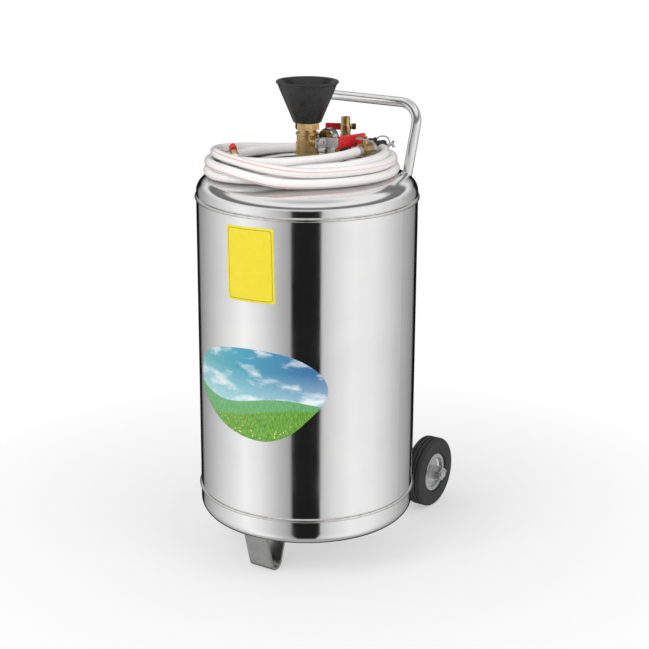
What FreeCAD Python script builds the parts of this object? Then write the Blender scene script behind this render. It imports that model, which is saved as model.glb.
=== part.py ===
import FreeCAD, Part
import math
import os
import Sketcher

# Wheeled sprayer cart: a stainless pressure tank on two wheels and a front foot, with a filling valve and
# funnel, a pressure gauge, an air valve, an outlet valve with a coiled hose, and a spray gun on top.
# Millimetres. +X is the right wheel, +Y is the handle side, +Z is up, and the ground is Z = 0.

# A text that starts with = is a size that follows from others.
DIMENSIONS = {
    # Tank shell, heads and weld seams
    "tank_r": 200.0,
    "shell_wall": 2.0,
    "lower_seam_up": 130.0,
    "upper_seam_up": 681.0,
    "seam_width": 8.0,
    "seam_rise": 2.8,
    "knuckle_r": 25.0,
    "crown_r": 500.0,
    "top_flange": 10.0,
    "bottom_flange": 27.0,
    # Handle tube
    "handle_tube_r": 9.0,
    "handle_wall": 1.5,
    "handle_inset": 82.0,
    "handle_ahead": 50.0,
    "handle_above": 149.0,
    "handle_half": "=tank_r - handle_inset",
    "handle_back": "=tank_r - handle_ahead",
    "handle_up": "=upper_seam_up + handle_above",
    "handle_bend_r": 38.0,
    "handle_rake": 18.0,
    "collar_wall": 4.0,
    "collar_up": 11.0,
    # Front foot
    "foot_width": 50.0,
    "foot_thick": 5.0,
    "foot_front": 178.0,
    "foot_rear": 92.0,
    "foot_low": 137.0,
    "foot_bend_r": 17.0,
    # Wheels and axle
    "wheel_r": 70.0,
    "wheel_width": 36.0,
    "wheel_out": 104.0,
    "axle_back": 288.0,
    "axle_r": 8.0,
    "bracket_out": 76.0,
    "bracket_thick": 4.0,
    "bracket_boss_r": 18.0,
    "bracket_top": 148.0,
    "bracket_low": 84.0,
    "hub_r": 14.0,
    "hub_length": 40.0,
    "bush_r": 10.5,
    "bush_flange": 1.6,
    "rim_r": 38.0,
    "rim_bed_r": 33.0,
    "rim_bed_width": 26.0,
    "rim_wall": 1.8,
    "tread_depth": 2.2,
    "washer_r": 14.0,
    "washer_thick": 2.0,
    "axle_nut_flats": 24.0,
    "axle_nut_high": 9.0,
    "pin_r": 1.6,
    # Clearances
    "running_gap": 0.06,
    "free_gap": 0.3,
    # Filling valve, one inch
    "fill_above": 100.0,
    "fill_up": "=upper_seam_up + fill_above",
    "fill_turn": 72.0,
    "fill_bore": 9.5,
    "fill_ball_r": 14.5,
    "fill_barrel_r": 20.5,
    "fill_flats": 40.0,
    "fill_thread_r": 15.0,
    "fill_low": 30.0,
    "fill_high": 14.0,
    "fill_hex": 9.0,
    "fill_end_hex": 12.0,
    "fill_end_neck": 6.0,
    "fill_stem_r": 5.0,
    "fill_stem_out": 41.0,
    "fill_lever_out": 35.0,
    "fill_lever_step": 18.0,
    "fill_lever_long": 86.0,
    "fill_lever_width": 17.0,
    # Funnel
    "funnel_base_r": 26.0,
    "funnel_rim_r": 54.0,
    "funnel_high": 74.0,
    "funnel_wall": 3.5,
    "funnel_tail_r": 11.0,
    "funnel_tail_wall": 1.5,
    "funnel_tail_up": 16.0,
    # Pressure gauge
    "gauge_out": 27.0,
    "gauge_back": 26.0,
    "gauge_above": 102.0,
    "gauge_up": "=upper_seam_up + gauge_above",
    "gauge_r": 18.0,
    "gauge_deep": 13.0,
    "gauge_stem_r": 5.0,
    "gauge_socket_r": 9.0,
    # Air valve
    "air_out": 24.0,
    "air_back": 90.0,
    "air_above": 110.0,
    "air_up": "=upper_seam_up + air_above",
    "air_turn": 205.0,
    "air_bore": 4.0,
    "air_ball_r": 6.5,
    "air_barrel_r": 9.5,
    "air_flats": 17.0,
    "air_thread_r": 6.0,
    "air_low": 17.0,
    "air_high": 21.0,
    "air_stem_r": 2.5,
    "air_stem_out": 21.0,
    "air_lever_out": 17.0,
    "air_lever_long": 38.0,
    "air_lever_width": 9.0,
    "air_pipe_r": 6.5,
    "safety_r": 5.5,
    "safety_up": 4.0,
    "safety_neck": 0.5,
    "safety_out": 6.5,
    # Outlet
    "outlet_out": 95.5,
    "outlet_back": 70.0,
    "outlet_above": 87.0,
    "outlet_up": "=upper_seam_up + outlet_above",
    "outlet_pipe_r": 8.5,
    "outlet_bore": 6.0,
    "elbow_r": 11.0,
    "elbow_bend_r": 14.0,
    "elbow_band": 12.0,
    "elbow_reach": 2.0,
    "outlet_ball_r": 8.5,
    "outlet_barrel_r": 11.5,
    "outlet_flats": 22.0,
    "outlet_half": 13.0,
    "outlet_stem_r": 3.0,
    "outlet_stem_out": 21.0,
    "outlet_lever_out": 17.0,
    "outlet_lever_long": 16.0,
    "outlet_lever_width": 10.0,
    "dip_clear": 12.0,
    # Hose
    "hose_r": 8.5,
    "hose_bore_r": 6.0,
    "barb_long": 18.0,
    "clamp_width": 9.0,
    "clamp_wall": 0.8,
    "lay_turn": 33.0,
    "coil_long_r": 168.0,
    "coil_short_r": 157.0,
    "coil_shift": -10.0,
    "coil_above": 53.0,
    "coil_up": "=upper_seam_up + coil_above",
    # Fitting at the free end of the hose
    "end_along": -129.0,
    "end_across": -18.6,
    "end_above": 19.0,
    "end_up": "=coil_up + end_above",
    "ferrule_long": 8.0,
    "shank_long": 9.0,
    "collar_long": 2.6,
    "wing_r": 4.6,
    "wing_long": 11.4,
    # Spray gun
    "gun_along": 59.5,
    "gun_across": 36.0,
    "gun_above": 21.4,
    "gun_up": "=coil_up + gun_above",
    "gun_climb": 7.0,
    "gun_barrel_r": 4.5,
    "gun_sleeve_r": 8.0,
    "gun_block_r": 10.0,
    "gun_wire_r": 1.2,
    "gun_screw_r": 2.5,
    "trigger_width": 5.0,
}

document = FreeCAD.newDocument("sprayer_cart")
sheet = document.addObject("Spreadsheet::Sheet", "Sizes")
for row, (alias, amount) in enumerate(DIMENSIONS.items(), start=1):
    sheet.set(f"A{row}", alias)
    sheet.set(f"B{row}", str(amount))
    sheet.setAlias(f"B{row}", alias)
document.recompute()


class Size:
    """A number together with the expression that gives it from the sheet's cells."""

    def __init__(self, value, text):
        self.value = float(value)
        self.text = text

    def __add__(self, other):
        other = as_size(other)
        return Size(self.value + other.value, f"({self.text} + {other.text})")

    def __radd__(self, other):
        return as_size(other) + self

    def __sub__(self, other):
        other = as_size(other)
        return Size(self.value - other.value, f"({self.text} - {other.text})")

    def __rsub__(self, other):
        return as_size(other) - self

    def __mul__(self, other):
        other = as_size(other)
        return Size(self.value * other.value, f"({self.text} * {other.text})")

    def __rmul__(self, other):
        return as_size(other) * self

    def __truediv__(self, other):
        other = as_size(other)
        return Size(self.value / other.value, f"({self.text} / {other.text})")

    def __rtruediv__(self, other):
        return as_size(other) / self

    def __neg__(self):
        return Size(-self.value, f"(-1 * {self.text})")


def as_size(amount):
    if isinstance(amount, Size):
        return amount
    return Size(amount, f"({amount!r})")


def cell(alias):
    return Size(float(sheet.get(alias)), f"Sizes.{alias}")


def root(size):
    return Size(math.sqrt(size.value), f"sqrt({size.text})")


def cosine(size):
    return Size(math.cos(math.radians(size.value)), f"cos({size.text})")


def sine(size):
    return Size(math.sin(math.radians(size.value)), f"sin({size.text})")


Vector = FreeCAD.Vector
Rotation = FreeCAD.Rotation
X_AXIS = Vector(1, 0, 0)
Y_AXIS = Vector(0, 1, 0)
Z_AXIS = Vector(0, 0, 1)
NO_TURN = Rotation()
# Turns that lay a part made along its own Z onto the named direction.
ONTO_X = Rotation(Y_AXIS, 90)
ONTO_MINUS_X = Rotation(Y_AXIS, -90)
ONTO_MINUS_Y = Rotation(X_AXIS, 90)

# The sub-parts to write, by node name.
finished = {}


class Frame:
    """A place with sizes for its origin and a turn, in which sub-parts are laid out."""

    def __init__(self, origin, rotation=NO_TURN):
        self.origin = [as_size(amount) for amount in origin]
        self.rotation = rotation

    def point(self, *amounts):
        columns = [self.rotation.multVec(axis) for axis in (X_AXIS, Y_AXIS, Z_AXIS)]
        place = []
        for axis in range(3):
            total = self.origin[axis]
            for column, amount in zip(columns, amounts):
                factor = round(column[axis], 12)
                if factor and as_size(amount).value:
                    total = total + as_size(amount) * factor
            place.append(total)
        return place

    def child(self, at=(0, 0, 0), rotation=NO_TURN):
        return Frame(self.point(*at), self.rotation.multiply(rotation))


def place(item, frame, at=(0, 0, 0), rotation=NO_TURN):
    """Put an object in a frame, with its position tied to the sheet."""
    spot = frame.point(*at)
    base = Vector(*[size.value for size in spot])
    item.Placement = FreeCAD.Placement(base, frame.rotation.multiply(rotation))
    for axis, size in zip("xyz", spot):
        item.setExpression(f"Placement.Base.{axis}", size.text)


def new_body(label):
    body = document.addObject("PartDesign::Body", label)
    body.Label = label
    return body


def finish(label, item):
    item.Label = label
    finished[label] = item
    return item


def bind(item, name, amount):
    """Set a length or an angle, and tie it to the sheet where it comes from there."""
    size = as_size(amount)
    setattr(item, name, size.value)
    if isinstance(amount, Size):
        item.setExpression(name, size.text)


def empty_sketch(body, name, role):
    sketch = body.newObject("Sketcher::SketchObject", name)
    plane = [feature for feature in body.Origin.OriginFeatures if feature.Role == role][0]
    sketch.AttachmentSupport = [(plane, "")]
    sketch.MapMode = "FlatFace"
    sketch.Visibility = False
    return sketch


def constrain(sketch, kind, *arguments):
    """Add a dimension whose last argument is a size, tied to the sheet if it comes from there."""
    size = as_size(arguments[-1])
    index = sketch.addConstraint(Sketcher.Constraint(kind, *arguments[:-1], size.value))
    if isinstance(arguments[-1], Size):
        sketch.setExpression(f"Constraints[{index}]", size.text)


def pin_down(sketch, piece, end, x, y):
    """Fix a point of a sketch at its two coordinates from the sketch's origin."""
    for kind, amount, on_axis in (("DistanceX", x, -2), ("DistanceY", y, -1)):
        if as_size(amount).value == 0:
            sketch.addConstraint(Sketcher.Constraint("PointOnObject", piece, end, on_axis))
        else:
            constrain(sketch, kind, -1, 1, piece, end, amount)


def add_circle(sketch, x, y, radius):
    centre = Vector(as_size(x).value, as_size(y).value, 0)
    circle = sketch.addGeometry(Part.Circle(centre, Z_AXIS, as_size(radius).value), False)
    pin_down(sketch, circle, 3, x, y)
    constrain(sketch, "Radius", circle, radius)


def arc_between(start, end, radius, side):
    """The shorter arc from start to end; side 1 has its centre on the left of the way, -1 on the right.

    The arc itself always runs anticlockwise, as a sketch wants it.
    """
    chord = end - start
    normal = Vector(-chord.y, chord.x, 0).normalize() * side
    height = math.sqrt(max(radius**2 - (chord.Length / 2) ** 2, 0.0))
    centre = (start + end) * 0.5 + normal * height
    middle = centre - normal * radius
    if side > 0:
        return Part.Arc(start, middle, end)
    return Part.Arc(end, middle, start)


def add_outline(sketch, corners, closed=True):
    """Draw a chain of straight edges and arcs.

    A corner is (x, y), or (x, y, radius, side) where the edge that leaves it is an arc.
    """
    points = [Vector(as_size(corner[0]).value, as_size(corner[1]).value, 0) for corner in corners]
    count = len(corners) if closed else len(corners) - 1
    ends = []
    for index in range(count):
        start = points[index]
        stop = points[(index + 1) % len(points)]
        corner = corners[index]
        if len(corner) == 2:
            edge = sketch.addGeometry(Part.LineSegment(start, stop), False)
            ends.append((edge, 1, 2))
            continue
        curve = arc_between(start, stop, as_size(corner[2]).value, corner[3])
        edge = sketch.addGeometry(curve, False)
        forward = sketch.Geometry[edge].StartPoint.distanceToPoint(start) < 1e-4
        ends.append((edge, 1, 2) if forward else (edge, 2, 1))
        constrain(sketch, "Radius", edge, corner[2])
    for index in range(count):
        edge, start, stop = ends[index]
        pin_down(sketch, edge, start, corners[index][0], corners[index][1])
        if index + 1 < count or closed:
            following = ends[(index + 1) % count]
            sketch.addConstraint(Sketcher.Constraint("Coincident", edge, stop, following[0], following[1]))
        else:
            pin_down(sketch, edge, stop, corners[-1][0], corners[-1][1])


def outline_sketch(body, name, role, corners, holes=()):
    sketch = empty_sketch(body, name, role)
    add_outline(sketch, corners)
    for x, y, radius in holes:
        add_circle(sketch, x, y, radius)
    return sketch


def revolve(body, corners, name="Profile"):
    """Turn a profile, given as radius and height, about the body's Z axis."""
    sketch = outline_sketch(body, name, "XZ_Plane", corners)
    turned = body.newObject("PartDesign::Revolution", "Turned")
    turned.Profile = sketch
    turned.ReferenceAxis = (sketch, ["V_Axis"])
    turned.Angle = 360.0
    return turned


def pad(body, sketch, length, both_ways=False):
    feature = body.newObject("PartDesign::Pad", "Pad")
    feature.Profile = sketch
    if both_ways:
        feature.SideType = "Symmetric"
    bind(feature, "Length", length)
    return feature


def pocket_through(body, sketch):
    """Cut a sketch right through the body, both ways from its plane."""
    before = body.Shape.Volume
    feature = body.newObject("PartDesign::Pocket", "Pocket")
    feature.Profile = sketch
    feature.SideType = "Symmetric"
    feature.Type = "ThroughAll"
    document.recompute()
    if body.Shape.Volume >= before - 1e-6:
        raise ValueError(f"a pocket in {body.Label} cut nothing")
    return feature


def add_rod(body, radius, length, at=(0, 0, 0), rotation=NO_TURN, cut=False, flats=0):
    """Add or cut a rod that starts at a point and runs along the turned Z; flats makes it a hexagon."""
    kind = "Prism" if flats else "Cylinder"
    prefix = "Subtractive" if cut else "Additive"
    rod = body.newObject(f"PartDesign::{prefix}{kind}", "Rod")
    if flats:
        rod.Polygon = 6
        bind(rod, "Circumradius", flats / (2 * math.cos(math.pi / 6)))
    else:
        bind(rod, "Radius", radius)
    bind(rod, "Height", length)
    spot = [as_size(amount) for amount in at]
    rod.Placement = FreeCAD.Placement(Vector(*[size.value for size in spot]), rotation)
    for axis, size in zip("xyz", spot):
        if size.value:
            rod.setExpression(f"Placement.Base.{axis}", size.text)
    return rod


def round_edges(body, radius, chosen):
    """Fillet the edges that a test picks."""
    document.recompute()
    tip = body.Tip
    names = [f"Edge{number}" for number, edge in enumerate(tip.Shape.Edges, start=1) if chosen(edge)]
    feature = body.newObject("PartDesign::Fillet", "Fillet")
    feature.Base = (tip, names)
    bind(feature, "Radius", radius)
    return feature


def group(label, pieces):
    """Several like pieces as one node."""
    together = document.addObject("Part::Compound", label)
    together.Links = pieces
    return finish(label, together)


def cut_from(label, base, tool):
    """A piece trimmed to the surface that it is welded on."""
    trimmed = document.addObject("Part::Cut", label)
    trimmed.Base = base
    trimmed.Tool = tool
    return finish(label, trimmed)


# Where the tank's axis stands, so that the part's own origin is the middle of its footprint.
TANK_BACK = -(cell("axle_back") + cell("wheel_r") - cell("tank_r") - cell("seam_rise")) / 2
TANK = Frame((0, TANK_BACK, 0))
LAY = Frame((0, TANK_BACK, 0), Rotation(Z_AXIS, cell("lay_turn").value))


def head_corners(seam, flange, upward):
    """Half section of a dished head as (radius, height) corners, from its seam to the tank's axis."""
    way = 1 if upward else -1
    radius = cell("tank_r")
    wall = cell("shell_wall")
    knuckle = cell("knuckle_r")
    crown = cell("crown_r")
    ring = radius - knuckle
    knuckle_up = seam + flange * way
    drop = root((crown - knuckle) * (crown - knuckle) - ring * ring)
    crown_centre = knuckle_up - drop * way

    def meeting(offset):
        share = (crown - offset) / (crown - knuckle)
        return ring * share, crown_centre + (knuckle_up - crown_centre) * share

    outer_x, outer_up = meeting(as_size(0))
    inner_x, inner_up = meeting(wall)
    return [
        (radius - wall, seam),
        (radius, seam),
        (radius, knuckle_up, knuckle, way),
        (outer_x, outer_up, crown, way),
        (0, crown_centre + crown * way),
        (0, crown_centre + (crown - wall) * way, crown - wall, -way),
        (inner_x, inner_up, knuckle - wall, -way),
        (radius - wall, knuckle_up),
    ]


def head_surface(radius, offset=0):
    """Height of the top head's outer surface, raised by an offset, at a distance from the tank's axis."""
    ring = cell("tank_r") - cell("knuckle_r")
    reach = cell("crown_r") - cell("knuckle_r")
    centre = cell("upper_seam_up") + cell("top_flange") - root(reach * reach - ring * ring)
    crown = cell("crown_r") + offset
    return centre + root(crown * crown - as_size(radius) * as_size(radius))


def head_up_at(x, y):
    """Height of the top head's outer surface above a point given from the tank's axis."""
    return head_surface(root(as_size(x) * as_size(x) + as_size(y) * as_size(y)))


# Sockets in the top head: name, place from the tank's axis, and outer radius.
FILL_SOCKET_R = cell("fill_thread_r") + 4
AIR_SOCKET_R = cell("air_pipe_r") + 3.5
OUTLET_SOCKET_R = cell("outlet_pipe_r") + 3.5
SOCKETS = {
    "fill_socket": (as_size(0), as_size(0), FILL_SOCKET_R),
    "gauge_socket": (cell("gauge_out"), cell("gauge_back"), cell("gauge_socket_r")),
    "air_socket": (cell("air_out"), cell("air_back"), AIR_SOCKET_R),
    "outlet_socket": (cell("outlet_out"), cell("outlet_back"), OUTLET_SOCKET_R),
}


def build_tank():
    radius = cell("tank_r")
    wall = cell("shell_wall")
    low = cell("lower_seam_up")
    high = cell("upper_seam_up")
    shell = new_body("tank_shell")
    revolve(shell, [(radius - wall, low), (radius, low), (radius, high), (radius - wall, high)])
    place(shell, TANK)
    finish("tank_shell", shell)
    top = new_body("top_head")
    revolve(top, head_corners(high, cell("top_flange"), True))
    document.recompute()
    holes = empty_sketch(top, "SocketHoles", "XY_Plane")
    for x, y, socket_radius in SOCKETS.values():
        add_circle(holes, x, y, socket_radius)
    pocket_through(top, holes)
    place(top, TANK)
    finish("top_head", top)
    bottom = new_body("bottom_head")
    revolve(bottom, head_corners(low, cell("bottom_flange"), False))
    place(bottom, TANK)
    finish("bottom_head", bottom)
    seams = new_body("weld_seams")
    half = cell("seam_width") / 2
    rise = cell("seam_rise")
    bulge = (half * half + rise * rise) / (rise * 2)
    for name, height in (("LowerSeam", low), ("UpperSeam", high)):
        corners = [(radius, height - half, bulge, 1), (radius, height + half)]
        revolve(seams, corners, name)
    place(seams, TANK)
    finish("weld_seams", seams)


def tank_outside():
    """The tank's full outer form, seams included, to trim what is welded on."""
    radius = cell("tank_r")
    low = cell("lower_seam_up")
    high = cell("upper_seam_up")
    half = cell("seam_width") / 2
    rise = cell("seam_rise")
    bulge = (half * half + rise * rise) / (rise * 2)
    top = head_corners(high, cell("top_flange"), True)[2:5]
    bottom = head_corners(low, cell("bottom_flange"), False)[2:5]
    (knuckle_x, knuckle_up, knuckle, _), (crown_x, crown_up, crown, _), (_, low_point) = bottom
    outline = [
        (0, low_point, crown, 1),
        (crown_x, crown_up, knuckle, 1),
        (knuckle_x, knuckle_up),
        (radius, low - half, bulge, 1),
        (radius, low + half),
        (radius, high - half, bulge, 1),
        (radius, high + half),
    ]
    outside = new_body("tank_outside")
    revolve(outside, outline + top)
    place(outside, TANK)
    return outside


def build_sockets():
    """Welded sockets, set through the head, with a bore and a spigot for what screws on."""
    bores = {
        "fill_socket": (cell("fill_thread_r"), cell("fill_bore")),
        "gauge_socket": (cell("gauge_stem_r"), cell("air_bore")),
        "air_socket": (cell("air_pipe_r"), cell("air_bore")),
        "outlet_socket": (cell("outlet_pipe_r"), cell("outlet_bore")),
    }
    tops = {
        "fill_socket": (cell("fill_up") - cell("fill_low"), cell("fill_hex") + 2),
        "gauge_socket": (cell("gauge_up") - cell("gauge_r") - 9, as_size(0)),
        "air_socket": (cell("air_up") - cell("air_low"), as_size(8)),
        "outlet_socket": (cell("outlet_up") - cell("elbow_bend_r") - cell("elbow_reach"), as_size(7)),
    }
    below = 6
    lip = 6
    for name, (x, y, radius) in SOCKETS.items():
        spigot, bore = bores[name]
        top, reach = tops[name]
        foot = head_up_at(x, y) - cell("shell_wall") - below
        shoulder = head_up_at(x, y) + lip
        body = new_body(name)
        if name == "gauge_socket":
            corners = [(spigot, foot), (radius, foot), (radius, top), (spigot, top)]
        elif name == "fill_socket":
            corners = [(bore, foot), (radius, foot), (radius, top), (spigot, top)]
            corners += [(spigot, top + reach), (bore, top + reach)]
        else:
            corners = [(bore, foot), (radius, foot), (radius, shoulder), (spigot, shoulder)]
            corners += [(spigot, top + reach), (bore, top + reach)]
        revolve(body, corners)
        place(body, TANK, (x, y, 0))
        finish(name, body)


def handle_frame():
    """The plane of the raked handle: X across, Z up along the legs, from the height of the head's shoulder."""
    start = cell("upper_seam_up") + cell("top_flange")
    rake = Rotation(X_AXIS, -cell("handle_rake").value)
    return TANK.child((0, cell("handle_back"), start), rake)


def build_handle(outside):
    frame = handle_frame()
    half = cell("handle_half")
    bend = cell("handle_bend_r")
    radius = cell("handle_tube_r")
    start = cell("upper_seam_up") + cell("top_flange")
    length = (cell("handle_up") - start) / cosine(cell("handle_rake"))
    tube = new_body("handle_blank")
    route = empty_sketch(tube, "Route", "XZ_Plane")
    corners = [
        (-half, 0),
        (-half, length - bend, bend, -1),
        (bend - half, length),
        (half - bend, length, bend, -1),
        (half, length - bend),
        (half, 0),
    ]
    add_outline(route, corners, closed=False)
    section = empty_sketch(tube, "Section", "XY_Plane")
    add_circle(section, -half, 0, radius)
    add_circle(section, -half, 0, radius - cell("handle_wall"))
    pipe = tube.newObject("PartDesign::AdditivePipe", "Pipe")
    pipe.Profile = section
    pipe.Spine = (route, [f"Edge{number}" for number in range(1, len(corners))])
    place(tube, frame)
    cut_from("handle_tube", tube, outside)
    outer = radius + cell("collar_wall")
    pieces = []
    for side in (-1, 1):
        collar = new_body("collar_blank")
        lift = as_size(14)
        rise = cell("collar_up")
        profile = [(radius, 0), (outer, 0), (outer, lift), (radius + 1, lift + rise), (radius, lift + rise)]
        revolve(collar, profile)
        place(collar, frame, (half * side, 0, 0))
        trimmed = document.addObject("Part::Cut", "collar")
        trimmed.Base = collar
        trimmed.Tool = outside
        pieces.append(trimmed)
    group("handle_welds", pieces)


def build_foot(outside):
    """Front foot: a flat bar bent into a rounded V, its two ends welded under the bottom head."""
    thick = cell("foot_thick")
    bend = cell("foot_bend_r")
    low = cell("foot_low")
    front = cell("foot_front")
    rear = cell("foot_rear")
    top = cell("lower_seam_up") - cell("bottom_flange")

    def leg(end, side):
        """Foot of the tangent from the leg's upper end to the bend, and its direction from the bend's centre."""
        across = (end - low) * side
        up = top - bend
        reach = root(across * across + up * up)
        along = root(reach * reach - bend * bend)
        normal_x = (bend * across + along * up) / (reach * reach)
        normal_up = (bend * up - along * across) / (reach * reach)
        return normal_x * side, normal_up

    front_x, front_up = leg(front, 1)
    rear_x, rear_up = leg(rear, -1)
    inner = bend - thick

    def bend_point(direction_x, direction_up, radius):
        return low + direction_x * radius, bend + direction_up * radius

    corners = [
        (front, top),
        (*bend_point(front_x, front_up, bend), bend, -1),
        (low, 0, bend, -1),
        (*bend_point(rear_x, rear_up, bend),),
        (rear, top),
        (rear + rear_x * (-1) * thick, top - rear_up * thick),
        (*bend_point(rear_x, rear_up, inner), inner, 1),
        (*bend_point(front_x, front_up, inner),),
        (front - front_x * thick, top - front_up * thick),
    ]
    blank = new_body("foot_blank")
    sketch = outline_sketch(blank, "SideView", "YZ_Plane", [(-as_size(c[0]), *c[1:3], -c[3]) if len(c) == 4
                                                            else (-as_size(c[0]), c[1]) for c in corners])
    pad(blank, sketch, cell("foot_width"), both_ways=True)
    place(blank, TANK)
    cut_from("front_foot", blank, outside)


def build_brackets(outside):
    """Two cheek plates that run from the tank's lower wall back to the axle."""
    back = cell("axle_back")
    axle_up = cell("wheel_r")
    boss = cell("bracket_boss_r")
    inside = cell("tank_r") / 2
    for name, side in (("axle_bracket_left", -1), ("axle_bracket_right", 1)):
        blank = new_body(name + "_blank")
        corners = [
            (inside, cell("bracket_low")),
            (back, axle_up - boss, boss, 1),
            (back + boss, axle_up, boss, 1),
            (back, axle_up + boss),
            (cell("tank_r") + 12, cell("bracket_top")),
            (inside, cell("bracket_top")),
        ]
        sketch = outline_sketch(blank, "Cheek", "YZ_Plane", corners, [(back, axle_up, cell("axle_r"))])
        pad(blank, sketch, cell("bracket_thick"), both_ways=True)
        place(blank, TANK, (cell("bracket_out") * side, 0, 0))
        cut_from(name, blank, outside)


def axle_stations():
    """Distances from the middle plane to the faces of what sits on the axle, from the bracket outwards."""
    bracket_face = cell("bracket_out") + cell("bracket_thick") / 2
    hub_inner = cell("wheel_out") - cell("hub_length") / 2 - cell("bush_flange")
    hub_outer = cell("wheel_out") + cell("hub_length") / 2 + cell("bush_flange")
    outer_washer = hub_outer + cell("free_gap")
    nut_face = outer_washer + cell("washer_thick")
    return bracket_face, hub_inner, outer_washer, nut_face


def build_axle():
    frame = TANK.child((0, cell("axle_back"), cell("wheel_r")), ONTO_X)
    bracket_face, hub_inner, outer_washer, nut_face = axle_stations()
    radius = cell("axle_r")
    half = nut_face + cell("axle_nut_high") + 4
    chamfer = 1.5
    axle = new_body("axle")
    end = half - chamfer
    revolve(axle, [(0, -half), (radius - chamfer, -half), (radius, -end), (radius, end),
                   (radius - chamfer, half), (0, half)])
    for side in (-1, 1):
        hole_at = (nut_face + cell("axle_nut_high") - 2) * side
        add_rod(axle, cell("pin_r"), radius * 2 + 2, (0, radius + 1, hole_at), ONTO_MINUS_Y, cut=True)
    place(axle, frame)
    finish("axle", axle)
    washers = []
    nuts = []
    pins = []
    inner_thick = hub_inner - cell("free_gap") - bracket_face
    for side in (-1, 1):
        for start, thick in ((bracket_face, inner_thick), (outer_washer, cell("washer_thick"))):
            washer = new_body("washer")
            edge = start * side
            far = (start + thick) * side
            corners = [(radius, edge), (cell("washer_r"), edge), (cell("washer_r"), far), (radius, far)]
            revolve(washer, corners)
            place(washer, frame)
            washers.append(washer)
        nut = new_body("nut")
        start = nut_face if side > 0 else -(nut_face + cell("axle_nut_high"))
        add_rod(nut, 0, cell("axle_nut_high"), flats=cell("axle_nut_flats"))
        add_rod(nut, radius, cell("axle_nut_high"), cut=True)
        slot = outline_sketch(nut, "Slot", "XZ_Plane", slot_corners(side))
        pad_cut = nut.newObject("PartDesign::Pocket", "Slot")
        pad_cut.Profile = slot
        pad_cut.SideType = "Symmetric"
        pad_cut.Type = "ThroughAll"
        place(nut, frame, (0, 0, start))
        nuts.append(nut)
        pin = new_body("pin")
        length = cell("axle_nut_flats") + 4
        pin_up = (nut_face + cell("axle_nut_high") - 2) * side
        add_rod(pin, cell("pin_r"), length, (0, length / 2, pin_up), ONTO_MINUS_Y)
        add_rod(pin, cell("pin_r") + 1, 3, (0, length / 2 + 3, pin_up), ONTO_MINUS_Y)
        place(pin, frame)
        pins.append(pin)
    group("axle_washers", washers)
    group("axle_nuts", nuts)
    group("cotter_pins", pins)


def slot_corners(side):
    """The slot across a nut's outer face that the cotter pin lies in."""
    half = cell("pin_r")
    top = cell("axle_nut_high") + 1
    floor = cell("axle_nut_high") - 2 - half
    if side < 0:
        top, floor = as_size(-1), 2 + half
    return [(-half, floor), (half, floor), (half, top), (-half, top)]


def build_wheels():
    hub = cell("hub_r")
    bore = cell("bush_r")
    half_hub = cell("hub_length") / 2
    bed = cell("rim_bed_r")
    half_bed = cell("rim_bed_width") / 2
    wall = cell("rim_wall")
    rim = cell("rim_r")
    dish = half_bed - 8
    for side_name, side in (("left", -1), ("right", 1)):
        frame = TANK.child((cell("wheel_out") * side, cell("axle_back"), cell("wheel_r")), ONTO_X)
        wheel = new_body("wheel_rim_" + side_name)
        corners = [
            (bore, -half_hub),
            (hub, -half_hub),
            (hub, -dish / 2),
            (bed - wall - 4, -dish),
            (bed - wall, -dish - 3),
            (bed - wall, -half_bed - wall),
            (rim, -half_bed - wall),
            (rim, -half_bed),
            (bed, -half_bed),
            (bed, half_bed),
            (rim, half_bed),
            (rim, half_bed + wall),
            (bed - wall, half_bed + wall),
            (bed - wall, dish + 3),
            (bed - wall - 4, dish),
            (hub, dish / 2),
            (hub, half_hub),
            (bore, half_hub),
        ]
        revolve(wheel, corners)
        place(wheel, frame)
        finish("wheel_rim_" + side_name, wheel)
        build_tyre(side_name, frame)
        build_bushes(side_name, frame)


def build_tyre(side_name, frame):
    """Solid rubber tyre, seated between the rim's flanges, with rounded shoulders and three grooves."""
    bed = cell("rim_bed_r")
    half_bed = cell("rim_bed_width") / 2
    rim = cell("rim_r")
    half = cell("wheel_width") / 2
    radius = cell("wheel_r")
    shoulder = 7
    depth = cell("tread_depth")
    wall_up = rim + 4
    tread = []
    groove_half = 1.3
    for centre in (-8, 0, 8):
        tread += [(radius, centre - groove_half), (radius - depth, centre - groove_half + 0.4),
                  (radius - depth, centre + groove_half - 0.4), (radius, centre + groove_half)]
    corners = [
        (bed, -half_bed),
        (rim + 0.5, -half_bed),
        (wall_up, -half),
        (radius - shoulder, -half, shoulder, 1),
        (radius, shoulder - half),
    ]
    corners += tread
    corners += [
        (radius, half - shoulder, shoulder, 1),
        (radius - shoulder, half),
        (wall_up, half),
        (rim + 0.5, half_bed),
        (bed, half_bed),
    ]
    tyre = new_body("tyre_" + side_name)
    revolve(tyre, corners)
    place(tyre, frame)
    finish("tyre_" + side_name, tyre)


def build_bushes(side_name, frame):
    """Two flanged bushes, one pressed in from each end of the hub, running on the axle."""
    inner = cell("axle_r") + cell("running_gap")
    outer = cell("bush_r")
    half_hub = cell("hub_length") / 2
    flange = cell("bush_flange")
    reach = 14
    pieces = []
    for end in (-1, 1):
        bush = new_body("bush")
        face = (half_hub + flange) * end
        corners = [
            (inner, face),
            (cell("hub_r"), face),
            (cell("hub_r"), half_hub * end),
            (outer, half_hub * end),
            (outer, (half_hub - reach) * end),
            (inner, (half_hub - reach) * end),
        ]
        revolve(bush, corners)
        place(bush, frame)
        pieces.append(bush)
    group("bushes_" + side_name, pieces)


# A valve's own frame: its pipe runs along Z, its stem leaves along -Y and its lever, when shut, lies along X.
STEM_WAY = Rotation(X_AXIS, 90)


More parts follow.
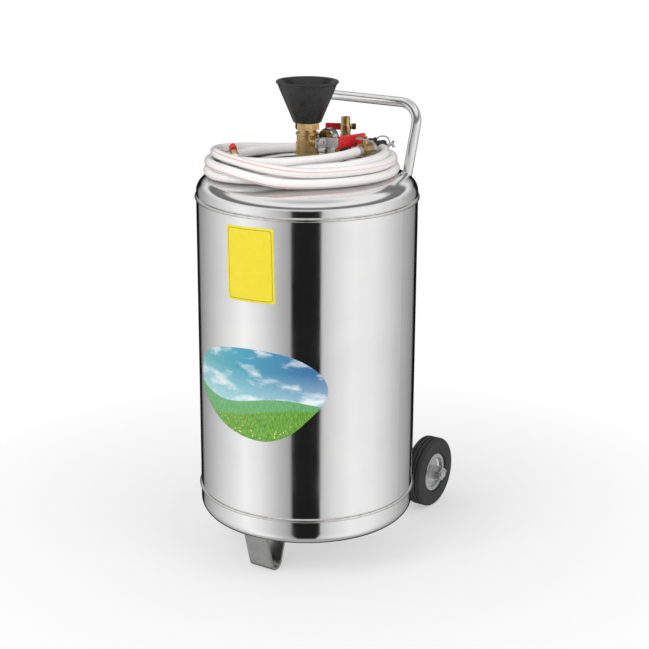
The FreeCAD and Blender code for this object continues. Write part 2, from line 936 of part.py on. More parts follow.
def build_ball(name, frame, ball_r, bore, stem_r, stem_out):
    """Ball with its stem. Shut, its bore lies across the pipe, along X."""
    ball = new_body(name)
    centre_flat = root(ball_r * ball_r - bore * bore)
    revolve(ball, [(0, -ball_r, ball_r, 1), (ball_r, 0, ball_r, 1), (0, ball_r)])
    add_rod(ball, stem_r, stem_out, (0, 0, 0), STEM_WAY)
    add_rod(ball, bore, centre_flat * 2 + 2 * bore, (-(centre_flat + bore), 0, 0), ONTO_X, cut=True)
    place(ball, frame)
    return finish(name, ball)


def build_fill_valve(frame):
    gap = cell("free_gap")
    bore = cell("fill_bore")
    barrel = cell("fill_barrel_r")
    cavity = cell("fill_ball_r") + gap
    low = cell("fill_low")
    high = cell("fill_high")
    hexagon = cell("fill_hex")
    band = 4
    body = new_body("fill_valve_body")
    waist = barrel - 1.6
    corners = [
        (0, -low + 1),
        (barrel - 1, -low + 1),
        (barrel - 1, hexagon - low - 1),
        (barrel, hexagon - low),
        (barrel, -band),
        (waist, -band + 1),
        (waist, high - 5),
        (barrel, high - 4),
        (barrel, high),
        (0, high),
    ]
    revolve(body, corners)
    add_rod(body, 0, hexagon, (0, 0, -low), flats=cell("fill_flats"))
    add_rod(body, cell("fill_stem_r") + 4.5, cell("fill_lever_out") - 2, (0, 0, 0), STEM_WAY)
    add_rod(body, cavity, cavity + high, (0, 0, -cavity), cut=True)
    add_rod(body, bore, low, (0, 0, -low), cut=True)
    add_rod(body, cell("fill_thread_r"), hexagon + 2, (0, 0, -low), cut=True)
    add_rod(body, cell("fill_stem_r") + cell("running_gap"), cell("fill_lever_out"), (0, 0, 0), STEM_WAY, cut=True)
    place(body, frame)
    finish("fill_valve_body", body)
    end = new_body("fill_valve_end")
    seat_r = cell("fill_ball_r") + gap
    ball_top = root(seat_r * seat_r - bore * bore)
    neck_top = high + cell("fill_end_neck")
    neck = barrel - 4.5
    corners = [
        (0, ball_top),
        (cavity, ball_top),
        (cavity, high),
        (neck, high),
        (neck, neck_top + 1),
        (0, neck_top + 1),
    ]
    revolve(end, corners)
    add_rod(end, 0, cell("fill_end_hex"), (0, 0, neck_top), flats=cell("fill_flats"))
    add_rod(end, bore, high * 2 + cell("fill_end_hex"), (0, 0, 0), cut=True)
    port = cell("funnel_tail_r")
    add_rod(end, port, cell("fill_end_hex") + 2, (0, 0, neck_top + 1), cut=True)
    place(end, frame)
    finish("fill_valve_end", end)
    build_ball("fill_ball", frame, cell("fill_ball_r"), bore, cell("fill_stem_r"), cell("fill_stem_out"))
    build_fill_lever(frame)


def build_fill_lever(frame):
    """A flat lever, stepped outwards past the funnel, with a dipped grip and a nut on the stem."""
    thick = as_size(3)
    near = -cell("fill_lever_out")
    step = cell("fill_lever_step")
    far = near - step
    width = cell("fill_lever_width")
    long = cell("fill_lever_long")
    bend_start = 12
    bend_end = 23
    lever = new_body("fill_lever")
    corners = [
        (-10, near),
        (bend_start, near),
        (bend_end, far),
        (long, far),
        (long, far - thick),
        (bend_end - 1.5, far - thick),
        (bend_start - 1.5, near - thick),
        (-10, near - thick),
    ]
    sketch = outline_sketch(lever, "EdgeView", "XY_Plane", corners)
    pad(lever, sketch, width, both_ways=True)
    add_rod(lever, cell("fill_stem_r"), cell("fill_lever_out") + 10, (0, 0, 0), STEM_WAY, cut=True)
    place(lever, frame)
    finish("fill_lever", lever)
    grip = new_body("fill_lever_grip")
    wall = 2.2
    start = bend_end + 4
    corners = [
        (start, far + wall),
        (long + wall, far + wall),
        (long + wall, far - thick - wall),
        (start, far - thick - wall),
    ]
    sketch = outline_sketch(grip, "EdgeView", "XY_Plane", corners)
    pad(grip, sketch, width + 2 * wall, both_ways=True)
    round_edges(grip, 2.0, lambda edge: edge.BoundBox.XMax > start + 1)
    hollow = [(start - 1, far), (long, far), (long, far - thick), (start - 1, far - thick)]
    inside = outline_sketch(grip, "Inside", "XY_Plane", hollow)
    cut = grip.newObject("PartDesign::Pocket", "Inside")
    cut.Profile = inside
    cut.SideType = "Symmetric"
    bind(cut, "Length", width)
    place(grip, frame)
    finish("fill_lever_grip", grip)
    nut = new_body("fill_lever_nut")
    add_rod(nut, 0, 5, (0, near - thick, 0), STEM_WAY, flats=as_size(17))
    add_rod(nut, cell("fill_stem_r"), 5, (0, near - thick, 0), STEM_WAY, cut=True)
    place(nut, frame)
    finish("fill_lever_nut", nut)


def build_funnel(frame):
    """Rubber funnel, standing on the valve and carried by a brass tail inside its neck."""
    base = cell("fill_high") + cell("fill_end_neck") + cell("fill_end_hex")
    port_floor = cell("fill_high") + cell("fill_end_neck") + 1
    tail = cell("funnel_tail_r")
    tail_wall = cell("funnel_tail_wall")
    tail_up = cell("funnel_tail_up")
    low_r = cell("funnel_base_r")
    rim = cell("funnel_rim_r")
    high = cell("funnel_high")
    wall = cell("funnel_wall")
    chamfer = 2.5
    lip = 2.2
    funnel = new_body("funnel")
    corners = [
        (tail, base),
        (low_r - chamfer, base),
        (low_r, base + chamfer),
        (rim, base + high - 2 * lip),
        (rim + lip, base + high - lip, lip, 1),
        (rim, base + high),
        (rim - wall, base + high - 1),
        (low_r - wall, base + tail_up + 6),
        (tail, base + tail_up),
    ]
    revolve(funnel, corners)
    place(funnel, frame)
    finish("funnel", funnel)
    piece = new_body("funnel_tail")
    corners = [
        (tail - tail_wall, port_floor),
        (tail, port_floor),
        (tail, base + tail_up),
        (tail - tail_wall, base + tail_up),
    ]
    revolve(piece, corners)
    place(piece, frame)
    finish("funnel_tail", piece)


def build_gauge():
    """Pressure gauge on its own socket, its face towards the person at the handle."""
    frame = TANK.child((cell("gauge_out"), cell("gauge_back"), cell("gauge_up")), Rotation(X_AXIS, -90))
    radius = cell("gauge_r")
    deep = cell("gauge_deep")
    wall = 1.2
    back = -deep / 2
    front = deep / 2
    dial_up = front - 4
    case = new_body("gauge_case")
    corners = [
        (0, back),
        (radius - 2, back),
        (radius, back + 2),
        (radius, front),
        (radius - wall, front),
        (radius - wall, back + wall + 1),
        (0, back + wall + 1),
    ]
    revolve(case, corners)
    down = Rotation(X_AXIS, -90)
    sunk = wall * 0.9
    add_rod(case, cell("gauge_stem_r"), 20 + sunk, (0, radius - sunk, 0), down)
    add_rod(case, 0, 6, (0, radius + 2.5, 0), down, flats=as_size(12))
    place(case, frame)
    finish("gauge_case", case)
    dial = new_body("gauge_dial")
    inner = radius - wall - cell("free_gap")
    spindle = 1.5
    revolve(dial, [(spindle + cell("running_gap"), back + wall + 1), (inner, back + wall + 1),
                   (inner, dial_up), (spindle + cell("running_gap"), dial_up)])
    place(dial, frame)
    finish("gauge_dial", dial)
    pointer = new_body("gauge_pointer")
    needle_up = dial_up + 0.4
    add_rod(pointer, spindle, 5, (0, 0, needle_up + 1.2 - 5))
    sketch = outline_sketch(pointer, "Needle", "XY_Plane", [(-1.6, 4), (-0.5, 1 - (radius - 5)),
                                                            (0.5, 1 - (radius - 5)), (1.6, 4)])
    needle = pad(pointer, sketch, 0.8)
    sketch.AttachmentOffset = FreeCAD.Placement(Vector(0, 0, needle_up.value), NO_TURN)
    sketch.setExpression("AttachmentOffset.Base.z", needle_up.text)
    needle.Label = "Needle"
    place(pointer, frame, rotation=Rotation(Z_AXIS, 135))
    finish("gauge_pointer", pointer)
    window = new_body("gauge_window")
    over = radius + cell("free_gap")
    bezel = over + 1
    corners = [(0, front - 1.2), (inner, front - 1.2), (inner, front), (over, front), (over, front - 1.2),
               (bezel, front - 1.2), (bezel, front + 1), (radius - 3, front + 1), (radius - 3, front), (0, front)]
    revolve(window, corners)
    place(window, frame)
    finish("gauge_window", window)


def build_air_valve(frame):
    gap = cell("free_gap")
    bore = cell("air_bore")
    barrel = cell("air_barrel_r")
    low = cell("air_low")
    high = cell("air_high")
    cavity = cell("air_ball_r") + gap
    body = new_body("air_valve_body")
    corners = [
        (0, -low + 1),
        (barrel - 1, -low + 1),
        (barrel - 1, -cavity - 1),
        (barrel, -cavity),
        (barrel, cavity),
        (barrel - 1.2, cavity + 1),
        (barrel - 1.2, high),
        (0, high),
    ]
    revolve(body, corners)
    add_rod(body, 0, 7, (0, 0, -low), flats=cell("air_flats"))
    add_rod(body, cell("air_stem_r") + 2.5, cell("air_lever_out") - 1, (0, 0, 0), STEM_WAY)
    add_rod(body, cavity, 2 * cavity, (0, 0, -cavity), cut=True)
    add_rod(body, bore, low + high, (0, 0, -low), cut=True)
    add_rod(body, cell("air_pipe_r"), 8, (0, 0, -low), cut=True)
    add_rod(body, cell("air_thread_r"), 10, (0, 0, high - 10), cut=True)
    add_rod(body, cell("air_stem_r") + cell("running_gap"), cell("air_lever_out"), (0, 0, 0), STEM_WAY, cut=True)
    side_port = (3 - barrel, 0, cell("safety_up"))
    add_rod(body, cell("safety_r") - 2, 3 + cell("safety_neck"), side_port, ONTO_MINUS_X)
    place(body, frame)
    finish("air_valve_body", body)
    build_ball("air_ball", frame, cell("air_ball_r"), bore, cell("air_stem_r"), cell("air_stem_out"))
    near = -cell("air_lever_out")
    thick = as_size(2)
    width = cell("air_lever_width")
    long = cell("air_lever_long")
    lever = new_body("air_lever")
    corners = [(-6, near), (long, near), (long, near - thick), (-6, near - thick)]
    pad(lever, outline_sketch(lever, "EdgeView", "XY_Plane", corners), width, both_ways=True)
    add_rod(lever, cell("air_stem_r"), cell("air_lever_out") + 5, (0, 0, 0), STEM_WAY, cut=True)
    place(lever, frame)
    finish("air_lever", lever)
    grip = new_body("air_lever_grip")
    wall = 1.6
    start = 12
    corners = [(start, near + wall), (long + wall, near + wall), (long + wall, near - thick - wall),
               (start, near - thick - wall)]
    pad(grip, outline_sketch(grip, "EdgeView", "XY_Plane", corners), width + 2 * wall, both_ways=True)
    round_edges(grip, 1.5, lambda edge: edge.BoundBox.XMax > start + 1)
    hollow = [(start - 1, near), (long, near), (long, near - thick), (start - 1, near - thick)]
    inside = grip.newObject("PartDesign::Pocket", "Inside")
    inside.Profile = outline_sketch(grip, "Inside", "XY_Plane", hollow)
    inside.SideType = "Symmetric"
    bind(inside, "Length", width)
    place(grip, frame)
    finish("air_lever_grip", grip)
    build_safety_valve(frame)


def build_safety_valve(frame):
    """Relief valve on the air valve's side port, with a pull cap."""
    radius = cell("safety_r")
    start = cell("air_barrel_r") + cell("safety_neck")
    length = cell("safety_out")
    base = frame.child((-start, 0, cell("safety_up")), ONTO_MINUS_X)
    body = new_body("safety_valve_body")
    corners = [(0, 0), (radius, 0), (radius, length - 4), (radius - 2.2, length - 4), (radius - 2.2, length),
               (0, length)]
    revolve(body, corners)
    place(body, base)
    finish("safety_valve_body", body)
    cap = new_body("safety_valve_cap")
    clear = cell("running_gap")
    inner = radius - 2.2 + clear
    corners = [(inner, length - 3.7), (radius, length - 3.7), (radius, length + 2), (0, length + 2),
               (0, length + clear * 5), (inner, length + clear * 5)]
    revolve(cap, corners)
    place(cap, base)
    finish("safety_valve_cap", cap)


def build_outlet():
    """Dip tube, elbow, outlet valve, hose barb and clamp, in line towards the front."""
    stand = TANK.child((cell("outlet_out"), cell("outlet_back"), 0))
    bore = cell("outlet_bore")
    up = cell("outlet_up")
    dip = new_body("dip_tube")
    socket_foot = head_up_at(cell("outlet_out"), cell("outlet_back")) - cell("shell_wall") - 6
    low_end = cell("lower_seam_up") - cell("bottom_flange") + cell("dip_clear")
    corners = [(bore - 1.2, low_end), (bore, low_end), (bore, socket_foot + 14), (bore - 1.2, socket_foot + 14)]
    revolve(dip, corners)
    place(dip, stand)
    finish("dip_tube", dip)
    build_elbow(stand.child((0, 0, up)))
    pipe_way = Rotation(Vector(-1, 0, 0), Vector(0, 0, -1), Vector(0, -1, 0), "ZXY")
    centre = -(cell("elbow_bend_r") + cell("elbow_reach") + cell("outlet_half"))
    frame = stand.child((0, centre, up), pipe_way)
    build_outlet_valve(frame)
    build_barb(frame)


def build_elbow(frame):
    """Quarter bend with two banded sockets; its own origin is the bend's centre, behind and below the corner."""
    band = cell("elbow_band")
    bend = cell("elbow_bend_r")
    reach = cell("elbow_reach")
    bore = cell("outlet_bore")
    pipe = cell("outlet_pipe_r")
    deep = 7
    elbow = new_body("outlet_elbow")
    outer = empty_sketch(elbow, "Section", "XY_Plane")
    add_circle(outer, 0, bend, cell("elbow_r"))
    swept = elbow.newObject("PartDesign::Revolution", "Bend")
    swept.Profile = outer
    swept.ReferenceAxis = (outer, ["H_Axis"])
    swept.Angle = 90.0
    add_rod(elbow, band, reach + deep, (0, bend, -reach))
    add_rod(elbow, band, reach + deep, (0, deep, bend), STEM_WAY)
    inner = empty_sketch(elbow, "Bore", "XY_Plane")
    add_circle(inner, 0, bend, bore)
    document.recompute()
    before = elbow.Shape.Volume
    hollow = elbow.newObject("PartDesign::Groove", "Bore")
    hollow.Profile = inner
    hollow.ReferenceAxis = (inner, ["H_Axis"])
    hollow.Angle = 90.0
    document.recompute()
    if elbow.Shape.Volume >= before:
        raise ValueError("the elbow's bore cut nothing")
    add_rod(elbow, pipe, reach + deep - 2, (0, bend, -reach), cut=True)
    add_rod(elbow, pipe, reach + deep - 2, (0, deep - 2, bend), STEM_WAY, cut=True)
    place(elbow, frame, (0, -bend, -bend))
    finish("outlet_elbow", elbow)


def build_outlet_valve(frame):
    gap = cell("free_gap")
    bore = cell("outlet_bore")
    barrel = cell("outlet_barrel_r")
    half = cell("outlet_half")
    cavity = cell("outlet_ball_r") + gap
    pipe = cell("outlet_pipe_r")
    spigot = 7
    hexagon = 5
    port = 6
    body = new_body("outlet_valve_body")
    corners = [
        (0, -half - spigot),
        (pipe, -half - spigot),
        (pipe, -half),
        (barrel, -half),
        (barrel, half - hexagon + 1),
        (0, half - hexagon + 1),
    ]
    revolve(body, corners)
    add_rod(body, 0, hexagon, (0, 0, half - hexagon), flats=cell("outlet_flats"))
    add_rod(body, cell("outlet_stem_r") + 2.5, cell("outlet_lever_out") - 1, (0, 0, 0), STEM_WAY)
    add_rod(body, cavity, cavity + half - port, (0, 0, -cavity), cut=True)
    add_rod(body, bore, half + spigot + 1, (0, 0, -half - spigot - 1), cut=True)
    stem_hole = cell("outlet_stem_r") + cell("running_gap")
    add_rod(body, stem_hole, cell("outlet_lever_out"), (0, 0, 0), STEM_WAY, cut=True)
    add_rod(body, cavity + 0.4, port + 1, (0, 0, half - port), cut=True)
    place(body, frame)
    finish("outlet_valve_body", body)
    build_ball("outlet_ball", frame, cell("outlet_ball_r"), bore, cell("outlet_stem_r"), cell("outlet_stem_out"))
    lever = new_body("outlet_lever")
    near = -cell("outlet_lever_out")
    long = cell("outlet_lever_long")
    width = cell("outlet_lever_width")
    thick = 2.5
    corners = [(-width / 2, near), (long, near), (long, near - thick), (-width / 2, near - thick)]
    pad(lever, outline_sketch(lever, "EdgeView", "XY_Plane", corners), width, both_ways=True)
    add_rod(lever, cell("outlet_stem_r"), cell("outlet_lever_out") + 5, (0, 0, 0), STEM_WAY, cut=True)
    place(lever, frame)
    finish("outlet_lever", lever)


def build_barb(frame):
    """Hose barb screwed into the valve, and the clamp round the hose."""
    seat = cell("outlet_ball_r") + cell("free_gap") + 0.4
    half = cell("outlet_half")
    hose_in = cell("hose_bore_r")
    reach = cell("barb_long")
    barb = new_body("hose_barb")
    bore = hose_in - 1.8
    deep = 5.1
    corners = [(bore, half - deep), (seat, half - deep), (seat, half), (seat + 1.5, half), (seat + 1.5, half + 3),
               (hose_in, half + 3), (hose_in, half + 3 + reach), (bore, half + 3 + reach)]
    revolve(barb, corners)
    place(barb, frame)
    finish("hose_barb", barb)
    clamp = new_body("hose_clamp")
    hose = cell("hose_r")
    wall = cell("clamp_wall")
    width = cell("clamp_width")
    start = half + 5
    corners = [(hose, start), (hose + wall, start), (hose + wall, start + width), (hose, start + width)]
    revolve(clamp, corners)
    add_rod(clamp, 3.2, 13, (hose + 2.4, 6.5, start + width / 2), ONTO_MINUS_Y)
    add_rod(clamp, hose, width + 2, (0, 0, start - 1), cut=True)
    place(clamp, frame)
    finish("hose_clamp", clamp)


def rounded_route(points):
    """Straight runs joined by tangent arcs, each as large as its two runs allow."""
    edges = []
    radii = []
    cursor = points[0]
    for index in range(1, len(points) - 1):
        before = points[index] - points[index - 1]
        after = points[index + 1] - points[index]
        turn = before.getAngle(after)
        shorter = min(before.Length, after.Length)
        cut = 0.45 * shorter
        radius = cut / math.tan(turn / 2)
        radii.append(radius)
        into = Vector(before).normalize()
        out = Vector(after).normalize()
        first = points[index] - into * cut
        last = points[index] + out * cut
        bisector = (out - into).normalize()
        centre = points[index] + bisector * (radius / math.cos(turn / 2))
        middle = centre - bisector * radius
        edges.append(Part.LineSegment(cursor, first).toShape())
        edges.append(Part.Arc(first, middle, last).toShape())
        cursor = last
    edges.append(Part.LineSegment(cursor, points[-1]).toShape())
    return Part.Wire(edges), radii


def swept_rod(wire, radius, start, direction, inner=0.0):
    """A round rod or tube swept along a wire."""
    def sweep(section_radius):
        circle = Part.Circle(start, direction, section_radius)
        return wire.makePipeShell([Part.Wire([circle.toShape()])], True, False)
    rod = sweep(radius)
    return rod.cut(sweep(inner)) if inner else rod


def solid_feature(label, shape, frame=None):
    """A shape made in a frame's own coordinates, or in the cart's, as a feature."""
    feature = document.addObject("Part::Feature", label)
    feature.Shape = shape
    feature.Placement = FreeCAD.Placement()
    if frame:
        place(feature, frame)
    return finish(label, feature)


def hose_points():
    """The hose's free runs: from the outlet to the coil, and from the coil to the fitting at its end."""
    valve_back = cell("elbow_bend_r") + cell("elbow_reach") + 2 * cell("outlet_half") + 3
    start = Vector(*[size.value for size in TANK.point(
        cell("outlet_out"), cell("outlet_back") - valve_back, cell("outlet_up"))])
    lead = [start, start + Vector(0, -34, -1)]
    # Length, heading in the frame that the hose lies in, and rise of each further run.
    runs = ((31, 222, -1), (32, 208, -1.5), (34, 196, -1.5), (36, 187, -1.5), (38, 177, -1.5), (36, 168, -4))
    for length, heading, rise in runs:
        turn = math.radians(heading + cell("lay_turn").value)
        lead.append(lead[-1] + Vector(math.cos(turn) * length, math.sin(turn) * length, rise))
    # The last turn leaves the coil at its front, dips under the lead and climbs inside the other turns. Its
    # places are given along, across and above the coil's lowest turn.
    tail = [lay_point(*spot) for spot in (
        (61, -122, 21), (23, -132, 22.2), (-14, -128, 18.5), (-48, -118, 10.6), (-79, -102, 8.2),
        (-103, -78, 7.8), (-117.4, -54.4, 7.6), (-121.6, -45.4, 8.65), (-124.9, -36.3, 10.9), (-127.3, -27.3, 14.3),
        (cell("end_along"), cell("end_across"), cell("end_above")))]
    return lead, tail


def lay_point(along, across, above_coil):
    return Vector(*[size.value for size in LAY.point(along, across, cell("coil_up") + above_coil)])


def build_hose():
    lead, tail = hose_points()
    radius = cell("hose_r").value
    for name, points, inner in (("hose_lead", lead, cell("hose_bore_r").value), ("hose_tail", tail, 0.0)):
        wire, radii = rounded_route(points)
        tube = swept_rod(wire, radius, points[0], points[1] - points[0], inner)
        expected = math.pi * (radius**2 - inner**2) * wire.Length
        print(name, "length", round(wire.Length, 1), "radii", [round(r) for r in radii],
              "volume share", round(tube.Volume / expected, 3))
        solid_feature(name, tube)
    build_coil()
    build_hose_end(tail[-1] - tail[-2])


# Places of the coil's turns in its cross-section: outwards and upwards from the lowest, outer turn.
COIL_TURNS = ((0.0, 0.0), (-2.0, 17.0), (-17.5, 6.5))


def coil_section():
    """Where the straight sides of the outline round the turns touch each of them."""
    radius = cell("hose_r").value
    corners = []
    for index, centre in enumerate(COIL_TURNS):
        before = COIL_TURNS[index - 1]
        after = COIL_TURNS[(index + 1) % len(COIL_TURNS)]
        for near, far in ((before, centre), (centre, after)):
            way = Vector(far[0] - near[0], far[1] - near[1], 0).normalize()
            outward = Vector(way.y, -way.x, 0) * radius
            corners.append(Vector(centre[0] + outward.x, centre[1] + outward.y, 0))
    return corners


def build_coil():
    """The coiled hose as one solid: an oval ring of four arcs that meet in line."""
    long_r = cell("coil_long_r").value
    short_r = cell("coil_short_r").value
    # Radii of the arcs at the ends and at the sides, with their centres on the oval's two axes.
    end_r = 2 * short_r - long_r
    offset = long_r - end_r
    side_r = (offset**2 + short_r**2 - end_r**2) / (2 * (short_r - end_r))
    side_offset = side_r - short_r
    bound = math.atan2(side_offset, offset)
    corners = coil_section()
    sectors = []
    for centre, reach, start, sweep in (
        ((offset, 0), end_r, -bound, 2 * bound),
        ((0, -side_offset), side_r, bound, math.pi - 2 * bound),
        ((-offset, 0), end_r, math.pi - bound, 2 * bound),
        ((0, side_offset), side_r, math.pi + bound, math.pi - 2 * bound),
    ):
        face = coil_face(corners, reach)
        face.rotate(Vector(), Z_AXIS, math.degrees(start))
        face.translate(Vector(centre[0], centre[1], 0))
        sectors.append(face.revolve(Vector(centre[0], centre[1], 0), Z_AXIS, math.degrees(sweep)))
    ring = sectors[0].fuse(sectors[1:]).removeSplitter()
    solid_feature("hose_coil", ring, LAY.child((cell("coil_shift"), 0, cell("coil_up"))))


def coil_face(corners, reach):
    """The section as a face in the XZ plane, with the lowest turn's centre at the given reach."""
    radius = cell("hose_r").value
    edges = []
    spots = [Vector(reach + corner.x, 0, corner.y) for corner in corners]
    for index, centre in enumerate(COIL_TURNS):
        first = spots[2 * index]
        last = spots[2 * index + 1]
        middle_of = Vector(reach + centre[0], 0, centre[1])
        outward = ((first - middle_of) + (last - middle_of)).normalize() * radius
        edges.append(Part.Arc(first, middle_of + outward, last).toShape())
        following = spots[(2 * index + 2) % len(spots)]
        edges.append(Part.LineSegment(last, following).toShape())
    return Part.Face(Part.Wire(edges))


def build_hose_end(way):
    """Brass fitting at the free end of the hose, with a two-lobed swivel nut held on by its collar."""
    end = LAY.point(cell("end_along"), cell("end_across"), cell("end_up"))
    frame = Frame(end, Rotation(Z_AXIS.cross(way), Z_AXIS, way, "ZYX"))
    hose = cell("hose_r")
    neck = hose - 4
    shank = hose - 2.5
    gap = cell("free_gap")
    ferrule = cell("ferrule_long")
    seat = ferrule + cell("shank_long")
    collar = seat + cell("wing_long")
    tip = collar + cell("collar_long")
    fitting = new_body("hose_end_fitting")
    revolve(fitting, [(0, 0), (hose, 0), (hose, ferrule), (shank, ferrule), (shank, seat), (neck, seat),
                      (neck, collar), (neck + 1.2, collar), (neck + 1.2, tip), (0, tip)])
    add_rod(fitting, 2.5, tip, (0, 0, ferrule - 2), cut=True)
    place(fitting, frame)
    finish("hose_end_fitting", fitting)
    wing = new_body("hose_end_wing")
    start = seat + gap
    long = cell("wing_long") - 2 * gap
    add_rod(wing, neck + 2.6, long, (0, 0, start))
    for side in (-1, 1):
        add_rod(wing, cell("wing_r"), long, (0, side * neck, start))
    add_rod(wing, neck + cell("running_gap"), long + 2, (0, 0, start - 1), cut=True)
    place(wing, frame)
    finish("hose_end_wing", wing)


def build_gun():
    """Hand spray gun laid across the coil: barrel, nozzle, trigger, wire guard and wing screw."""
    climb = Rotation(Y_AXIS, 90 - cell("gun_climb").value)
    frame = LAY.child((cell("gun_along"), cell("gun_across"), cell("gun_up")), climb)
    barrel = cell("gun_barrel_r")
    sleeve = cell("gun_sleeve_r")
    block = cell("gun_block_r")
    body = new_body("gun_body")
    corners = [(0, 0), (barrel, 0), (barrel, 24)]
    ridge = 3
    for start in range(24, 54, 6):
        corners += [(sleeve, start), (sleeve, start + ridge), (sleeve - 1.5, start + ridge),
                    (sleeve - 1.5, start + 6)]
    corners += [(sleeve - 1.5, 60), (block, 62), (block, 81), (block - 3, 85), (0, 85)]
    revolve(body, corners)
    pin_at = -block - 2.5
    ear_in = cell("trigger_width") / 2 + cell("free_gap")
    ear = 1.5
    for side_in in (ear_in, -ear_in - ear):
        add_rod(body, 3.4, ear, (pin_at, ear + side_in, 65), ONTO_MINUS_Y)
    add_rod(body, 1.2, 2 * ear_in + 1, (pin_at, ear_in + 0.5, 65), ONTO_MINUS_Y)
    add_rod(body, cell("gun_screw_r") + cell("running_gap"), 7, (0, 0, 79), cut=True)
    place(body, frame)
    finish("gun_body", body)
    nozzle = new_body("gun_nozzle")
    corners = [(2, -10), (barrel - 1, -10), (barrel + 1.8, -7), (barrel + 1.8, 0), (2, 0)]
    revolve(nozzle, corners)
    place(nozzle, frame)
    finish("gun_nozzle", nozzle)
    build_gun_trigger(frame)
    aside = 4
    reach = block.value
    guard_points = [Vector(1 - reach, aside, 64), Vector(-reach - 7, aside, 73), Vector(-reach - 5.5, aside, 87),
                    Vector(-2, aside, 91.5), Vector(6, aside, 89), Vector(5, aside, 80)]
    wire, _ = rounded_route(guard_points)
    radius = cell("gun_wire_r").value
    loop = swept_rod(wire, radius, guard_points[0], guard_points[1] - guard_points[0])
    solid_feature("gun_guard", loop, frame)
    screw = new_body("gun_wing_screw")
    add_rod(screw, cell("gun_screw_r"), 14, (0, 0, 80))
    add_rod(screw, 4, 3, (0, 0, 93))
    sketch = outline_sketch(screw, "Wing", "XZ_Plane", [(-6, 94), (6, 94), (6, 100), (3, 97.5), (-3, 97.5),
                                                       (-6, 100)])
    pad(screw, sketch, 2, both_ways=True)
    place(screw, frame)
    finish("gun_wing_screw", screw)


def build_gun_trigger(frame):
    """Trigger lever along the gun's upper side, turning on a pin through two ears."""
    block = cell("gun_block_r")
    trigger = new_body("gun_trigger")
    near = -block - 0.8
    far = near - 4
    corners = [(near, 68), (near - 0.4, 62), (near - 5, 38), (near - 7.5, 38), (far, 62), (far, 68)]
    side = outline_sketch(trigger, "SideView", "XZ_Plane", corners, [(-block - 2.5, 65, 1.2 + cell("running_gap"))])
    pad(trigger, side, cell("trigger_width"), both_ways=True)
    place(trigger, frame)
    finish("gun_trigger", trigger)


def check_and_write():
    document.recompute()
    for item in document.Objects:
        if "Invalid" in item.State or "Error" in item.State:
            raise ValueError(f"{item.Label} did not build: {item.State}")
    os.makedirs("parts", exist_ok=True)
    for label, item in finished.items():
        shape = item.Shape
        if shape.isNull() or not shape.isValid() or not shape.Solids:
            raise ValueError(f"{label} has no valid solid")
        shape.exportStep(f"parts/{label}.step")
    print(len(finished), "sub-parts written")


def build():
    build_tank()
    build_sockets()
    outside = tank_outside()
    build_handle(outside)
    build_foot(outside)
    build_brackets(outside)
    build_axle()
    build_wheels()
    fill = TANK.child((0, 0, cell("fill_up")), Rotation(Z_AXIS, cell("fill_turn").value))
    build_fill_valve(fill)
    build_funnel(fill)
    build_gauge()
    air_turn = Rotation(Z_AXIS, cell("air_turn").value)
    build_air_valve(TANK.child((cell("air_out"), cell("air_back"), cell("air_up")), air_turn))
    build_outlet()
    build_hose()
    build_gun()
    check_and_write()


build()
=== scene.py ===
import math

import bmesh
import bpy
from mathutils import Matrix, Vector


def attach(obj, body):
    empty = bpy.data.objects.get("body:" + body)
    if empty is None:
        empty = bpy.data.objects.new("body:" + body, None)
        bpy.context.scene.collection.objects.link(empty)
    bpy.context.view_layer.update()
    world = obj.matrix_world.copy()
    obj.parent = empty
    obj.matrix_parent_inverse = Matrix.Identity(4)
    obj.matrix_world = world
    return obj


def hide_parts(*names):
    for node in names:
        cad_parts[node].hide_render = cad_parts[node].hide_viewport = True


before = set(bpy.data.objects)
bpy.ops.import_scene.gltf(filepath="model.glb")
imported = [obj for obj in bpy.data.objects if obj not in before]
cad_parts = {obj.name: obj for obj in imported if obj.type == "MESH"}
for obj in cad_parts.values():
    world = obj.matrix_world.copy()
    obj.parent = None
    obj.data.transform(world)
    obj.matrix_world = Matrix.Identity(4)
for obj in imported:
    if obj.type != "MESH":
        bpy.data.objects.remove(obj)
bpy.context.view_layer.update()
scene = bpy.context.scene
scene.view_settings.view_transform = "Standard"

MM = 0.001
LAY_TURN = math.radians(33.0)
TANK_BACK = -77.6
UV_MAP = "UVMap"

PICTURE_ACROSS = 649
FOCAL_PIXELS = 1584.75
SENSOR_WIDTH = 36
CAMERA_PITCH = 0.3002
CAMERA_ROLL = 0.0047
CAMERA_PLACE = (32.3, -2800, 1302.9)


def lay(along, across, up):
    """A place in millimetres from the tank's axis, along and across the picture, in the frame's metres."""
    x = along * math.cos(LAY_TURN) - across * math.sin(LAY_TURN)
    y = along * math.sin(LAY_TURN) + across * math.cos(LAY_TURN) + TANK_BACK
    return Vector((x, y, up)) * MM


def add_object(name, data):
    piece = bpy.data.objects.new(name, data)
    scene.collection.objects.link(piece)
    return piece


def add_camera():
    """The camera of the photograph: 33 degrees round to the left of the front, looking 17 degrees down."""
    level = Vector((-math.sin(LAY_TURN), math.cos(LAY_TURN), 0))
    away = level * math.cos(CAMERA_PITCH) - Vector((0, 0, math.sin(CAMERA_PITCH)))
    right = Vector((math.cos(LAY_TURN), math.sin(LAY_TURN), 0))
    up = right.cross(away)
    right_rolled = right * math.cos(CAMERA_ROLL) + up * math.sin(CAMERA_ROLL)
    up_rolled = up * math.cos(CAMERA_ROLL) - right * math.sin(CAMERA_ROLL)
    data = bpy.data.cameras.new("camera")
    data.sensor_width = SENSOR_WIDTH
    data.lens = SENSOR_WIDTH * FOCAL_PIXELS / PICTURE_ACROSS
    data.clip_end = 60
    camera = add_object("camera", data)
    place = Matrix((right_rolled, up_rolled, -away)).transposed().to_4x4()
    place.translation = lay(*CAMERA_PLACE)
    camera.matrix_world = place
    scene.camera = camera


add_camera()

